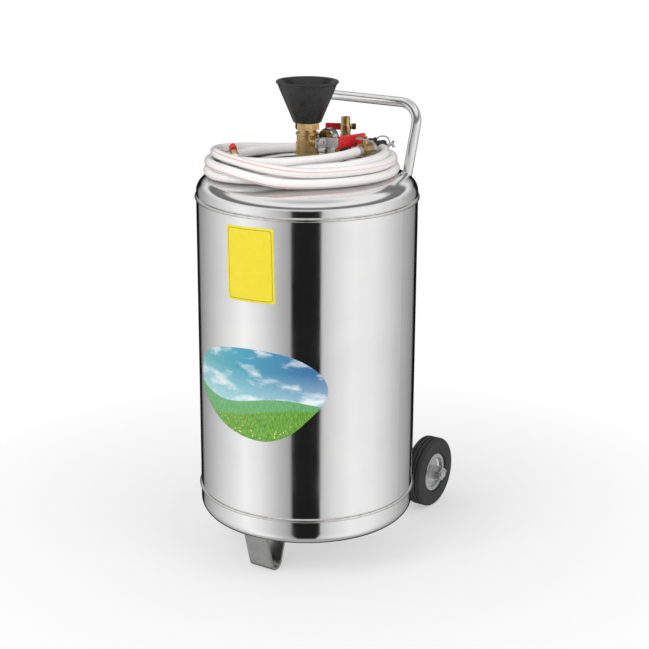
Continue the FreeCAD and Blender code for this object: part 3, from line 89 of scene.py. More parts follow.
# The hose: a lead from the outlet, nearly four turns wound clockwise on the head, and a tail to the wing nut.
# The head is a ball cap, and the hose's middle line rests at HEAD_REST_R from HEAD_CENTRE_UP on the axis.
HOSE_BORE_END = Vector((95.5, -52.6, 768)) * MM
HOSE_STRAIGHT = Vector((0, -34, -1)) * MM
HOSE_ACROSS = 17 * MM
HEAD_CENTRE_UP = 249.4
HEAD_REST_R = 508.5
COIL_AHEAD = -10
COIL_HALF = (168, 157)
COIL_STEP = 18
COIL_LAST = 1310
# The smooth line runs inside its control points, by this share where they are COIL_STEP degrees apart.
COIL_SPREAD = 1 / 0.9877

LEAD = [
    (52.2, -80.3, 766), (23.9, -95.3, 764.5), (-8.8, -104.7, 763), (-44.5, -110.5, 761.5), (-81, -105, 760),
]
TAIL = [
    (61, -122, 757), (23, -132, 756.2), (-14, -128, 752.5), (-48, -118, 744.6), (-79, -102, 742.2),
    (-103, -78, 741.9), (-115.3, -56.1, 741.8), (-120.6, -45.4, 743), (-124.9, -34.6, 745.9),
    (-128, -23.8, 750.2), (-129, -18.6, 753),
]
# Clockwise turn from the left in degrees, distance outside the coil's middle line, lift above the head.
COIL_STAGES = [
    (-42, -30, 21), (-28, -30, 18), (-15, -30, 14.5), (-5, -30.5, 11.5), (9, -34, 8), (30, -41, 4),
    (50, -47, 1.5), (70, -50, 0.6), (105, -50, 0.6), (120, -47, 0.6), (135, -40, 0.5), (150, -30, 0.5),
    (165, -20, 0.5), (172, -17.5, 0.5), (270, -17.5, 0.8), (285, -15.5, 0.8), (300, -13, 0.8), (316, -8, 0.8),
    (335, -3, 0.8), (350, 0, 1.5), (370, 0, 1.5), (400, 0, 0.6), (630, 0, 0.6),
    (645, 3, 3), (660, 3.5, 12), (676, 3, 20), (690, 0, 20.5), (710, -1.5, 19), (725, -3, 18),
    (745, -9, 13.5), (765, -14, 6.5), (782, -17, 1.5), (850, -17, 0.6), (870, -14, 7.5), (885, -8, 15.5),
    (900, -4, 18), (930, -2, 18), (990, -2, 17.8), (1000, -3, 21), (1020, -4, 29), (1036, -8, 33),
    (1055, -10.5, 35), (1070, -12.5, 34), (1085, -14.5, 29.5), (1100, -19, 22.5), (1115, -25, 16),
    (1130, -30, 9.5), (1150, -33.6, 1.5), (1182, -33.6, 1.5), (1198, -32, 14.5), (1214, -30, 19),
    (1230, -25, 20), (1245, -20, 22), (1258, -17, 23), (1275, -18, 22.5), (1295, -18.5, 20.5),
    (1320, -18.5, 19.5),
]


def between(stages, at):
    """The values of the stages at this turn, on straight lines between neighbours."""
    for first, second in zip(stages, stages[1:]):
        if at <= second[0]:
            share = (at - first[0]) / (second[0] - first[0])
            return [a + (b - a) * share for a, b in zip(first[1:], second[1:])]
    return stages[-1][1:]


def coil_point(turn):
    """The route's place at this turn: lifted above where the hose would rest on the domed head."""
    outward, lift = between(COIL_STAGES, turn)
    angle = math.radians(180 - turn)
    wide, deep = COIL_HALF
    middle = wide * deep / math.hypot(deep * math.cos(angle), wide * math.sin(angle))
    reach = middle + outward
    from_axis = math.hypot(COIL_AHEAD + reach * math.cos(angle), reach * math.sin(angle))
    rest = HEAD_CENTRE_UP + math.sqrt(HEAD_REST_R ** 2 - from_axis ** 2)
    spread = reach * COIL_SPREAD
    return lay(COIL_AHEAD + spread * math.cos(angle), spread * math.sin(angle), rest + lift)


def hose_route():
    """The hose's control points, from the outlet to the fitting at its far end."""
    points = [HOSE_BORE_END, HOSE_BORE_END + HOSE_STRAIGHT]
    points += [lay(*place) for place in LEAD]
    points += [coil_point(turn) for turn in range(COIL_STAGES[0][0], COIL_LAST, COIL_STEP)]
    points += [lay(*place) for place in TAIL]
    return points


def spline_points(name, route, steps):
    """The points along the smooth line that has the route as its control points."""
    data = bpy.data.curves.new(name, "CURVE")
    data.dimensions = "3D"
    data.resolution_u = steps
    spline = data.splines.new("NURBS")
    spline.points.add(len(route) - 1)
    for point, place in zip(spline.points, route):
        point.co = (*place, 1)
    spline.order_u = 3
    spline.use_endpoint_u = True
    curve = add_object(name, data)
    mesh = bpy.data.meshes.new_from_object(curve)
    points = [vertex.co.copy() for vertex in mesh.vertices]
    bpy.data.objects.remove(curve)
    bpy.data.meshes.remove(mesh)
    return points


def tube(name, points, radius, sides, twist, start):
    """A round tube along the points, with its length and turn as UV.

    start is its first turn in radians, and twist the radians that it turns in a metre.
    """
    mesh = bpy.data.meshes.new(name)
    shape = bmesh.new()
    layer = shape.loops.layers.uv.new(UV_MAP)
    rings, lengths, length = [], [], 0.0
    way = (points[1] - points[0]).normalized()
    side = way.orthogonal().normalized()
    for index, point in enumerate(points):
        before = points[max(index - 1, 0)]
        after = points[min(index + 1, len(points) - 1)]
        new_way = (after - before).normalized()
        side = (way.rotation_difference(new_way) @ side).normalized()
        way = new_way
        length += (point - before).length
        lengths.append(length)
        turned = Matrix.Rotation(start + twist * length, 3, way) @ side
        over = way.cross(turned)
        ring = []
        for corner in range(sides):
            angle = math.tau * corner / sides
            ring.append(shape.verts.new(point + (turned * math.cos(angle) + over * math.sin(angle)) * radius))
        rings.append(ring)
    for index in range(len(rings) - 1):
        for corner in range(sides):
            following = (corner + 1) % sides
            face = shape.faces.new((
                rings[index][corner], rings[index][following],
                rings[index + 1][following], rings[index + 1][corner]))
            face.smooth = True
            cells = ((lengths[index], corner), (lengths[index], corner + 1),
                     (lengths[index + 1], corner + 1), (lengths[index + 1], corner))
            for loop, (along, around) in zip(face.loops, cells):
                loop[layer].uv = (along, around / sides)
    shape.faces.new(list(reversed(rings[0])))
    shape.faces.new(rings[-1])
    bmesh.ops.recalc_face_normals(shape, faces=shape.faces)
    shape.to_mesh(mesh)
    shape.free()
    return add_object(name, mesh)


hose_line = spline_points("hose_line", hose_route(), steps=8)
hose = tube("hose", hose_line, HOSE_ACROSS / 2, sides=28, twist=0.9, start=3.4)
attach(hose, "cart")
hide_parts("hose_lead", "hose_coil", "hose_tail")

SHARP_ANGLE = math.radians(35)
WELD_DISTANCE = 0.000002


def as_object(name, shape):
    """The finished mesh: smooth faces, and an edge where two faces meet at more than SHARP_ANGLE."""
    bmesh.ops.remove_doubles(shape, verts=shape.verts, dist=WELD_DISTANCE)
    bmesh.ops.recalc_face_normals(shape, faces=shape.faces)
    for face in shape.faces:
        face.smooth = True
    for edge in shape.edges:
        edge.smooth = len(edge.link_faces) < 2 or edge.calc_face_angle() < SHARP_ANGLE
    mesh = bpy.data.meshes.new(name)
    shape.to_mesh(mesh)
    shape.free()
    return add_object(name, mesh)


def lathe(name, profile, centre, sides, flats=None, closed=True):
    """Turns corners of (radius, height) in mm round an upright axis.

    flats is the width over a hexagon's sides, and closed joins the last corner to the first.
    """
    shape = bmesh.new()
    rings = []
    for radius, high in profile:
        ring = []
        for corner in range(sides):
            angle = math.tau * corner / sides
            reach = radius
            if flats:
                off_middle = (math.degrees(angle) + 30) % 60 - 30
                reach = min(radius, flats / 2 / math.cos(math.radians(off_middle)))
            offset = Vector((reach * math.cos(angle), reach * math.sin(angle), high))
            ring.append(shape.verts.new(centre + offset * MM))
        rings.append(ring)
    next_rings = rings[1:] + rings[:1] if closed else rings[1:]
    for first, second in zip(rings, next_rings):
        for corner in range(sides):
            following = (corner + 1) % sides
            shape.faces.new((first[corner], first[following], second[following], second[corner]))
    return as_object(name, shape)


# The plates lie on the shell: PLATE_THICK stands out of it, and PLATE_SUNK is in its sheet. A fine bevel
# starts at PLATE_BEVEL of the way from the middle to the edge.
SHELL_R = 200
PLATE_THICK = 0.5
PLATE_SUNK = 0.4
PLATE_BEVEL = 0.994


def shell_plate(name, outline, turn, up, lean=0.0, rings=20):
    """A thin plate bent round the shell; outline is its edge in mm, rightward and upward from its middle.

    turn is the middle's place round the axis, and lean the plate's own slant, both in degrees.
    """
    shape = bmesh.new()
    layer = shape.loops.layers.uv.new(UV_MAP)
    half_wide = max(abs(right) for right, above in outline)
    half_high = max(abs(above) for right, above in outline)
    tilt = Matrix.Rotation(math.radians(lean), 2)
    shares = [step / rings for step in range(rings)]
    front = [(share, PLATE_THICK) for share in shares]
    edge = [(PLATE_BEVEL, PLATE_THICK), (1, PLATE_THICK * 0.5), (1, -PLATE_SUNK)]
    back = [(share, -PLATE_SUNK) for share in reversed(shares)]
    cells, bands = {}, []
    for share, out in front + edge + back:
        band = []
        for right, above in outline:
            flat = tilt @ Vector((right, above)) * share
            angle = math.radians(turn) + flat.x / SHELL_R
            reach = SHELL_R + out
            vertex = shape.verts.new(lay(reach * math.sin(angle), -reach * math.cos(angle), up + flat.y))
            cells[vertex] = (0.5 + right * share / half_wide / 2, 0.5 + above * share / half_high / 2)
            band.append(vertex)
        bands.append(band)
    for first, second in zip(bands, bands[1:]):
        for corner in range(len(outline)):
            following = (corner + 1) % len(outline)
            face = shape.faces.new((first[corner], first[following], second[following], second[corner]))
            for loop in face.loops:
                loop[layer].uv = cells[loop.vert]
    plate = as_object(name, shape)
    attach(plate, "cart")
    return plate


def rounded_outline(half_wide, half_high, corner_r, step=6, bends=6):
    """A rectangle with round corners, its straight sides cut into short steps so that it can bend."""
    points = []
    for quarter in range(4):
        wide, high = (half_wide, half_high) if quarter % 2 == 0 else (half_high, half_wide)
        corner = Vector((wide - corner_r, high - corner_r))
        turned = Matrix.Rotation(math.pi / 2 * quarter, 2)
        for part in range(bends + 1):
            bend = math.pi / 2 * part / bends
            points.append(turned @ (corner + Vector((math.cos(bend), math.sin(bend))) * corner_r))
        run = 2 * corner.x
        pieces = max(int(run / step), 1)
        for part in range(1, pieces):
            points.append(turned @ Vector((corner.x - run * part / pieces, high)))
    return [tuple(point) for point in points]


def round_line(corners, steps=6):
    """A closed smooth line through the corners."""
    points = []
    for index in range(len(corners)):
        first, second, third, fourth = (
            Vector(corners[(index + shift) % len(corners)]) for shift in range(4))
        for step in range(steps):
            at = step / steps
            points.append(tuple(0.5 * (
                2 * second + (third - first) * at + (2 * first - 5 * second + 4 * third - fourth) * at ** 2
                + (3 * second - first - 3 * third + fourth) * at ** 3)))
    return points


YELLOW_HALF = (47.3, 66.3)
yellow_plate = shell_plate(
    "yellow_plate", rounded_outline(*YELLOW_HALF, corner_r=1.5), turn=-29.2, up=596.5, lean=1.2, rings=12)
PICTURE_HALF = (143, 84)
PICTURE_EDGE = [
    (-134, 36), (-113, 55), (-82, 70), (-42, 79.5), (2.5, 84), (45, 82.5), (85, 74), (120, 54.5), (139, 32),
    (143, 9), (133, -13), (109, -38), (79, -65), (38, -83), (-10, -82), (-56, -69.5), (-97, -48), (-130, -22),
    (-142, 8),
]
picture_plate = shell_plate("picture_plate", round_line(PICTURE_EDGE), turn=-29.8, up=360.5)

# The rubber funnel: a cone with a rolled rim, standing on the filling valve round its brass tail.
FUNNEL_FOOT = Vector((0, TANK_BACK, 813)) * MM
FUNNEL_PROFILE = [
    (11, 0), (22.5, 0), (24.3, 0.5), (25.6, 1.7), (26.1, 3.2), (31.5, 16.4), (37.2, 30.1), (43, 43.8),
    (48.8, 57.4), (52.2, 66.6), (52.9, 68.3), (54.4, 69.4), (55.6, 70.4), (56.1, 71.8), (55.7, 73.1),
    (54.6, 73.9), (53.2, 73.8), (52.2, 73.1), (51.4, 71.9), (50.2, 70.2), (45.2, 59.5), (34, 39), (24, 23.6),
    (22.2, 21.4), (18, 17.4), (11, 16),
]
funnel = lathe("rolled_funnel", FUNNEL_PROFILE, FUNNEL_FOOT, sides=96)
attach(funnel, "cart")
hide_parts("funnel")

# A brass nut and the stem's rounded end hold the outlet's lever.
STEM_TOP = Vector((95.5, -36.6, 787.65)) * MM
NUT_PROFILE = [
    (0, 1.5), (3.05, 1.5), (3.05, 0), (4.3, 0), (4.62, 0.35), (4.62, 2.9), (4.05, 3.5), (2.6, 3.5),
    (2.5, 4.1), (1.8, 4.7), (0, 4.9),
]
outlet_nut = lathe("outlet_lever_nut", NUT_PROFILE, STEM_TOP, sides=48, flats=8, closed=False)
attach(outlet_nut, "outlet_handle")

# The scale on the gauge's dial, which faces the handle: marks DIAL_STEP degrees apart over 270 degrees, each
# fifth one long. A mark is given by its two ends' distance from the middle and half its width.
DIAL_FACE = Vector((27, TANK_BACK + 26 + 2.5, 783)) * MM
DIAL_START = 225
DIAL_STEP = 9
DIAL_MARKS = 31
LONG_MARK = (10.6, 15, 0.35)
SHORT_MARK = (12.8, 15, 0.18)
MARK_BACK = -0.1
MARK_FRONT = 0.2


def dial_scale():
    shape = bmesh.new()
    for mark in range(DIAL_MARKS):
        angle = math.radians(DIAL_START - DIAL_STEP * mark)
        inner, outer, half = LONG_MARK if mark % 5 == 0 else SHORT_MARK
        out = Vector((-math.cos(angle), 0, math.sin(angle)))
        side = Vector((out.z, 0, -out.x)) * half
        corners = []
        for lift in (MARK_BACK, MARK_FRONT):
            for reach, way in ((inner, -1), (outer, -1), (outer, 1), (inner, 1)):
                offset = out * reach + side * way + Vector((0, lift, 0))
                corners.append(shape.verts.new(DIAL_FACE + offset * MM))
        shape.faces.new(corners[3::-1])
        shape.faces.new(corners[4:])
        for corner in range(4):
            following = (corner + 1) % 4
            shape.faces.new((
                corners[corner], corners[following], corners[following + 4], corners[corner + 4]))
    return as_object("dial_scale", shape)


scale = dial_scale()
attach(scale, "cart")


class Nodes:
    """The nodes of a material or of the world."""

    def __init__(self, tree):
        self.tree = tree

    def feed(self, socket, value):
        """Links the socket to another node's output, or gives it a number, a vector or an opaque colour."""
        if isinstance(value, bpy.types.NodeSocket):
            self.tree.links.new(value, socket)
        elif isinstance(value, tuple) and socket.type == "RGBA":
            socket.default_value = (*value, 1)
        else:
            socket.default_value = value

    def add(self, kind, inputs=None, **settings):
        node = self.tree.nodes.new(kind)
        for name, value in settings.items():
            setattr(node, name, value)
        for name, value in (inputs or {}).items():
            self.feed(node.inputs[name], value)
        return node

    def ramp(self, value, *stops):
        """A colour ramp; each stop is its place and a colour or a grey."""
        node = self.add("ShaderNodeValToRGB", {"Fac": value})
        band = node.color_ramp
        while len(band.elements) < len(stops):
            band.elements.new(0.5)
        for element, (place, color) in zip(band.elements, stops):
            element.position = place
            element.color = (*color, 1) if isinstance(color, tuple) else (color, color, color, 1)
        return node.outputs["Color"]

    def span(self, value, low, high, to_low=0.0, to_high=1.0):
        """The value mapped from low and high to two other numbers, and kept between them."""
        return self.add("ShaderNodeMapRange", {
            "Value": value, "From Min": low, "From Max": high,
            "To Min": to_low, "To Max": to_high}).outputs["Result"]

    def math(self, operation, first, second=0.0, third=0.0):
        return self.add(
            "ShaderNodeMath", {0: first, 1: second, 2: third}, operation=operation).outputs["Value"]

    def mixed(self, share, first, second, way="MIX"):
        """Two colours mixed; a Mix node has them on its inputs 6 and 7 and its output 2."""
        return self.add(
            "ShaderNodeMix", {0: share, 6: first, 7: second}, data_type="RGBA", blend_type=way).outputs[2]

    def mixed_shaders(self, share, first, second):
        return self.add("ShaderNodeMixShader", {0: share, 1: first, 2: second}).outputs["Shader"]

    def parts(self, vector):
        node = self.add("ShaderNodeSeparateXYZ", {"Vector": vector})
        return node.outputs["X"], node.outputs["Y"], node.outputs["Z"]


NOISE_ROUGHNESS = 0.55


class Surface(Nodes):
    """A material: one glossy shader, with its colour, roughness and bump from nodes."""

    def __init__(self, name, color, metallic=0.0, roughness=0.5):
        self.material = bpy.data.materials.new(name)
        self.material.use_nodes = True
        super().__init__(self.material.node_tree)
        self.shader = self.tree.nodes["Principled BSDF"]
        self.feed(self.shader.inputs["Base Color"], color)
        self.feed(self.shader.inputs["Metallic"], metallic)
        self.feed(self.shader.inputs["Roughness"], roughness)
        self.places = self.add("ShaderNodeTexCoord").outputs["Object"]
        self.normal = None

    def stretched(self, places, scale):
        return self.add("ShaderNodeMapping", {"Vector": places, "Scale": scale}).outputs["Vector"]

    def noise(self, size, detail=3.0, stretch=None, places=None):
        """Soft noise from 0 to 1 whose patches are about size metres across."""
        where = places or self.places
        if stretch:
            where = self.stretched(where, stretch)
        return self.add("ShaderNodeTexNoise", {
            "Vector": where, "Scale": 1 / size, "Detail": detail,
            "Roughness": NOISE_ROUGHNESS}).outputs["Fac"]

    def cells(self, size, places=None):
        return self.add("ShaderNodeTexVoronoi", {"Vector": places or self.places, "Scale": 1 / size})

    def uv(self):
        """The two coordinates that the mesh carries."""
        return self.parts(self.add("ShaderNodeUVMap", uv_map=UV_MAP).outputs["UV"])[:2]

    def from_tank_axis(self):
        """Places sideways and forward from the tank's axis, in metres."""
        x, y = self.parts(self.places)[:2]
        return x, self.math("SUBTRACT", y, TANK_BACK * MM)

    def color(self, socket):
        self.feed(self.shader.inputs["Base Color"], socket)

    def rough(self, socket):
        self.feed(self.shader.inputs["Roughness"], socket)

    def bump(self, height, deep, strength=1.0):
        """Adds relief: height from 0 to 1 stands for deep metres."""
        node = self.add("ShaderNodeBump", {"Height": height, "Distance": deep, "Strength": strength})
        if self.normal:
            self.feed(node.inputs["Normal"], self.normal)
        self.normal = node.outputs["Normal"]
        self.feed(self.shader.inputs["Normal"], self.normal)


def shell_steel(name, spun=False):
    """Polished steel with fine upright lines, or with rings round the tank's axis where it is spun."""
    steel = Surface(name, (0.9, 0.9, 0.9), metallic=1.0, roughness=0.1)
    smudges = steel.noise(0.11, detail=4)
    steel.color(steel.ramp(smudges, (0.3, (0.86, 0.86, 0.865)), (0.7, (0.92, 0.92, 0.915))))
    if spun:
        x, y = steel.from_tank_axis()
        reach = steel.math("SQRT", steel.math(
            "ADD", steel.math("MULTIPLY", x, x), steel.math("MULTIPLY", y, y)))
        places = steel.add("ShaderNodeCombineXYZ", {"X": reach}).outputs["Vector"]
        grain = steel.noise(0.0009, detail=2, places=places)
    else:
        grain = steel.noise(0.0016, detail=2, stretch=(1, 1, 0.006))
    marks = steel.math("ADD", steel.math("MULTIPLY", smudges, 0.6), steel.math("MULTIPLY", grain, 0.4))
    steel.rough(steel.span(marks, 0.3, 0.7, 0.05, 0.15))
    steel.bump(grain, 0.000004)
    steel.bump(steel.noise(0.35, detail=1.5), 0.0006)
    return steel.material


RIPPLES_A_RADIAN = 95.0


def weld_steel(name):
    """Steel of the seams, with ripples round the tank's axis and tarnished patches."""
    steel = Surface(name, (0.8, 0.8, 0.8), metallic=1.0, roughness=0.25)
    x, y = steel.from_tank_axis()
    around = steel.math("ARCTAN2", x, y)
    ripple = steel.math("PINGPONG", steel.math("MULTIPLY", around, RIPPLES_A_RADIAN), 1.0)
    patches = steel.noise(0.012, detail=3)
    steel.color(steel.ramp(
        patches, (0.3, (0.66, 0.65, 0.63)), (0.55, (0.82, 0.81, 0.8)), (0.8, (0.72, 0.71, 0.7))))
    steel.rough(steel.span(patches, 0.3, 0.7, 0.12, 0.26))
    steel.bump(ripple, 0.00012, 0.4)
    steel.bump(patches, 0.00012)
    return steel.material


def sheet_steel(name):
    steel = Surface(name, (0.8, 0.8, 0.8), metallic=1.0, roughness=0.28)
    patches = steel.noise(0.03, detail=5)
    scratches = steel.noise(0.0012, detail=2, stretch=(0.05, 1, 1))
    steel.color(steel.ramp(patches, (0.3, (0.7, 0.7, 0.71)), (0.7, (0.84, 0.84, 0.84))))
    steel.rough(steel.span(scratches, 0.3, 0.7, 0.18, 0.34))
    steel.bump(scratches, 0.00002)
    return steel.material


def foot_steel(name):
    """Dull grey bar steel with the fine lines of its rolling."""
    steel = Surface(name, (0.24, 0.24, 0.24), metallic=1.0, roughness=0.32)
    patches = steel.noise(0.02, detail=5)
    lines = steel.noise(0.0014, detail=2, stretch=(1, 0.08, 0.08))
    steel.color(steel.ramp(patches, (0.3, (0.29, 0.29, 0.29)), (0.7, (0.37, 0.37, 0.36))))
    steel.rough(steel.span(lines, 0.3, 0.7, 0.24, 0.4))
    steel.bump(lines, 0.00002)
    return steel.material


def tube_steel(name):
    steel = Surface(name, (0.9, 0.9, 0.9), metallic=1.0, roughness=0.12)
    patches = steel.noise(0.02, detail=4)
    steel.color(steel.ramp(patches, (0.3, (0.82, 0.82, 0.83)), (0.7, (0.92, 0.92, 0.92))))
    steel.rough(steel.span(patches, 0.3, 0.7, 0.08, 0.2))
    steel.bump(steel.noise(0.0012, detail=2), 0.000006)
    return steel.material


def zinc_metal(name):
    zinc = Surface(name, (0.7, 0.7, 0.7), metallic=1.0, roughness=0.35)
    patches = zinc.noise(0.004, detail=5)
    flecks = zinc.cells(0.0012).outputs["Color"]
    tint = zinc.ramp(patches, (0.25, (0.55, 0.56, 0.57)), (0.75, (0.8, 0.8, 0.79)))
    zinc.color(zinc.mixed(0.12, tint, flecks, "OVERLAY"))
    zinc.rough(zinc.span(patches, 0.3, 0.7, 0.24, 0.45))
    zinc.bump(zinc.noise(0.0008, detail=3), 0.00005)
    return zinc.material


def brass_metal(name):
    brass = Surface(name, (0.66, 0.47, 0.22), metallic=1.0, roughness=0.25)
    patches = brass.noise(0.009, detail=4)
    brass.color(brass.ramp(
        patches, (0.3, (0.5, 0.34, 0.14)), (0.5, (0.66, 0.47, 0.21)), (0.75, (0.76, 0.58, 0.3))))
    brass.rough(brass.span(patches, 0.3, 0.7, 0.3, 0.18))
    brass.bump(brass.noise(0.0012, detail=3), 0.000012)
    return brass.material


def bright_metal(name, color=(0.82, 0.82, 0.82), low=0.05, high=0.14):
    """Plated metal whose roughness lies between low and high."""
    metal = Surface(name, color, metallic=1.0, roughness=low)
    patches = metal.noise(0.005, detail=4)
    dull = tuple(part * 0.86 for part in color)
    metal.color(metal.ramp(patches, (0.3, dull), (0.7, color)))
    metal.rough(metal.span(patches, 0.3, 0.7, low, high))
    metal.bump(metal.noise(0.0009, detail=2), 0.00001)
    return metal.material


def moulded(name, color, low, high, size=0.0006, deep=0.00004):
    """Plastic or rubber whose roughness lies between low and high, with grain of this size and depth."""
    plastic = Surface(name, color, roughness=low)
    patches = plastic.noise(0.012, detail=4)
    light = tuple(min(part * 1.35 + 0.01, 1) for part in color)
    plastic.color(plastic.ramp(patches, (0.35, color), (0.85, light)))
    plastic.rough(plastic.span(patches, 0.3, 0.7, low, high))
    plastic.bump(plastic.noise(size, detail=3), deep)
    return plastic.material


def hose_plastic(name):
    """Milky hose wall with one thin red line along it, which is fainter on some stretches."""
    hose_wall = Surface(name, (0.88, 0.86, 0.84), roughness=0.2)
    along, around = hose_wall.uv()
    off_line = hose_wall.math("ABSOLUTE", hose_wall.math("SUBTRACT", around, 0.5))
    line = hose_wall.span(off_line, 0.008, 0.024, 1.0, 0.0)
    stretches = hose_wall.add(
        "ShaderNodeTexNoise", {"W": along, "Scale": 2.2, "Detail": 1.0}, noise_dimensions="1D")
    clear = hose_wall.span(stretches.outputs["Fac"], 0.4, 0.6, 0.12, 0.75)
    line = hose_wall.math("MULTIPLY", line, clear)
    patches = hose_wall.noise(0.03, detail=4)
    wall = hose_wall.ramp(patches, (0.3, (0.88, 0.855, 0.83)), (0.7, (0.93, 0.915, 0.9)))
    hose_wall.color(hose_wall.mixed(line, wall, (0.78, 0.16, 0.15)))
    hose_wall.rough(hose_wall.span(patches, 0.3, 0.7, 0.12, 0.26))
    hose_wall.shader.inputs["Subsurface Weight"].default_value = 0.35
    hose_wall.shader.inputs["Subsurface Radius"].default_value = (1.0, 0.9, 0.8)
    hose_wall.shader.inputs["Subsurface Scale"].default_value = 0.004
    hose_wall.bump(hose_wall.noise(0.003, detail=2), 0.00005)
    return hose_wall.material


def plate_places(surface, half_wide, half_high):
    """Places on a plate in mm from its middle."""
    return tuple(
        surface.math("MULTIPLY", surface.math("SUBTRACT", place, 0.5), 2.0 * half)
        for place, half in zip(surface.uv(), (half_wide, half_high)))


def yellow_print(name, half_wide, half_high):
    """A bare yellow plate with one thin dark line round it, 4 mm inside its edge."""
    inset, corner_r, half_line = 4.0, 5.0, 0.5
    paint = Surface(name, (0.88, 0.74, 0.02), roughness=0.3)
    right, above = plate_places(paint, half_wide, half_high)
    squares = []
    for place, half in ((right, half_wide), (above, half_high)):
        past = paint.math("SUBTRACT", paint.math("ABSOLUTE", place), half - inset - corner_r)
        past = paint.math("MAXIMUM", past, 0.0)
        squares.append(paint.math("MULTIPLY", past, past))
    reach = paint.math("SQRT", paint.math("ADD", *squares))
    off_line = paint.math("ABSOLUTE", paint.math("SUBTRACT", reach, corner_r))
    line = paint.span(off_line, half_line * 0.6, half_line * 1.4, 0.85, 0.0)
    patches = paint.noise(0.02, detail=4)
    ground = paint.ramp(patches, (0.3, (0.83, 0.69, 0.02)), (0.7, (0.86, 0.72, 0.02)))
    paint.color(paint.mixed(line, ground, (0.12, 0.11, 0.05)))
    paint.rough(paint.span(patches, 0.3, 0.7, 0.22, 0.36))
    paint.bump(paint.noise(0.002, detail=2), 0.00001)
    return paint.material


def meadow_print(name, half_wide, half_high):
    """A printed meadow under a clear sky: two hills with flowers, drifting clouds and soap bubbles."""
    paint = Surface(name, (0.3, 0.6, 0.7), roughness=0.25)
    right, above = plate_places(paint, half_wide, half_high)
    places = paint.add("ShaderNodeCombineXYZ", {"X": right, "Y": above}).outputs["Vector"]
    share = paint.span(right, -half_wide, half_wide)
    sky = paint.ramp(
        share, (0.0, (0.16, 0.5, 0.52)), (0.45, (0.06, 0.34, 0.47)), (1.0, (0.05, 0.14, 0.36)))
    haze = paint.span(above, -half_high * 0.35, half_high * 0.55, 0.75, 0.0)
    sky = paint.mixed(haze, sky, (0.55, 0.82, 0.86))
    cloud = paint.span(
        paint.noise(42, detail=6, stretch=(0.55, 1.5, 1), places=places), 0.5, 0.66, 0.0, 0.85)
    sky = paint.mixed(cloud, sky, (0.93, 0.96, 0.97))
    bubble = paint.cells(17, places=places).outputs["Distance"]
    ring = paint.math("ABSOLUTE", paint.math("SUBTRACT", bubble, 0.26))
    rim = paint.span(ring, 0.02, 0.06, 0.6, 0.0)
    in_band = paint.span(above, -half_high * 0.3, half_high * 0.15, 1.0, 0.0)
    sky = paint.mixed(paint.math("MULTIPLY", rim, in_band), sky, (0.95, 0.98, 1.0))
    blades = paint.noise(5, detail=5, stretch=(2.4, 0.6, 1), places=places)
    for reach, low, swell, dark, light in (
            (95, -0.14, 0.1, (0.1, 0.36, 0.12), (0.2, 0.5, 0.2)),
            (150, -0.42, 0.16, (0.06, 0.24, 0.02), (0.24, 0.5, 0.07))):
        wave = paint.math("SINE", paint.math("DIVIDE", right, reach * 0.4))
        crest = paint.math("MULTIPLY_ADD", wave, swell * half_high, low * half_high)
        below = paint.span(paint.math("SUBTRACT", crest, above), -0.8, 0.8)
        sky = paint.mixed(below, sky, paint.ramp(blades, (0.35, dark), (0.65, light)))
    flower = paint.span(paint.cells(7, places=places).outputs["Distance"], 0.16, 0.24, 1.0, 0.0)
    low_down = paint.span(above, -half_high * 0.75, -half_high * 0.5, 1.0, 0.0)
    paint.color(paint.mixed(paint.math("MULTIPLY", flower, low_down), sky, (0.9, 0.82, 0.25)))
    patches = paint.noise(0.03, detail=4)
    paint.rough(paint.span(patches, 0.3, 0.7, 0.2, 0.32))
    paint.bump(paint.noise(0.002, detail=2), 0.00001)
    return paint.material


def glass(name):
    window = Surface(name, (1, 1, 1), roughness=0.03)
    window.shader.inputs["Transmission Weight"].default_value = 1.0
    window.shader.inputs["IOR"].default_value = 1.45
    window.rough(window.span(window.noise(0.01), 0.3, 0.7, 0.01, 0.05))
    return window.material


SLOT_MATERIALS = {
    "stainless": sheet_steel("brushed_steel"),
    "zinc": zinc_metal("zinc_plated_steel"),
    "brass": brass_metal("cast_brass"),
    "ball": bright_metal("chromed_ball"),
    "red_grip": moulded("red_dipped_grip", (0.62, 0.015, 0.02), 0.2, 0.32, deep=0.00002),
    "black_rubber": moulded("black_funnel_rubber", (0.016, 0.016, 0.017), 0.24, 0.34, 0.004, 0.00001),
    "tyre": moulded("tyre_rubber", (0.018, 0.018, 0.019), 0.45, 0.65, deep=0.00008),
    "bush": moulded("nylon_bush", (0.55, 0.54, 0.5), 0.4, 0.55),
    "dip": moulded("dip_tube_plastic", (0.7, 0.7, 0.68), 0.35, 0.5),
    "gauge_case": bright_metal("gauge_chrome", (0.7, 0.7, 0.71), 0.08, 0.22),
    "dial": moulded("dial_white", (0.85, 0.85, 0.84), 0.4, 0.5),
    "needle": moulded("needle_black", (0.02, 0.02, 0.02), 0.3, 0.4),
    "window": glass("gauge_window_glass"),
    "black_plastic": moulded("black_moulding", (0.014, 0.014, 0.015), 0.3, 0.45),
    "orange_plastic": moulded("orange_moulding", (0.8, 0.2, 0.03), 0.3, 0.4),
    "wire": bright_metal("guard_wire", (0.72, 0.72, 0.72), 0.14, 0.28),
    "hose": hose_plastic("hose_wall"),
}
NODE_MATERIALS = {
    "tank_shell": shell_steel("polished_shell"),
    "top_head": shell_steel("spun_head", spun=True),
    "weld_seams": weld_steel("welded_seam"),
    "handle_tube": tube_steel("polished_tube"),
    "front_foot": foot_steel("rolled_bar"),
}
NODE_MATERIALS["bottom_head"] = NODE_MATERIALS["top_head"]
NODE_MATERIALS["handle_welds"] = NODE_MATERIALS["weld_seams"]

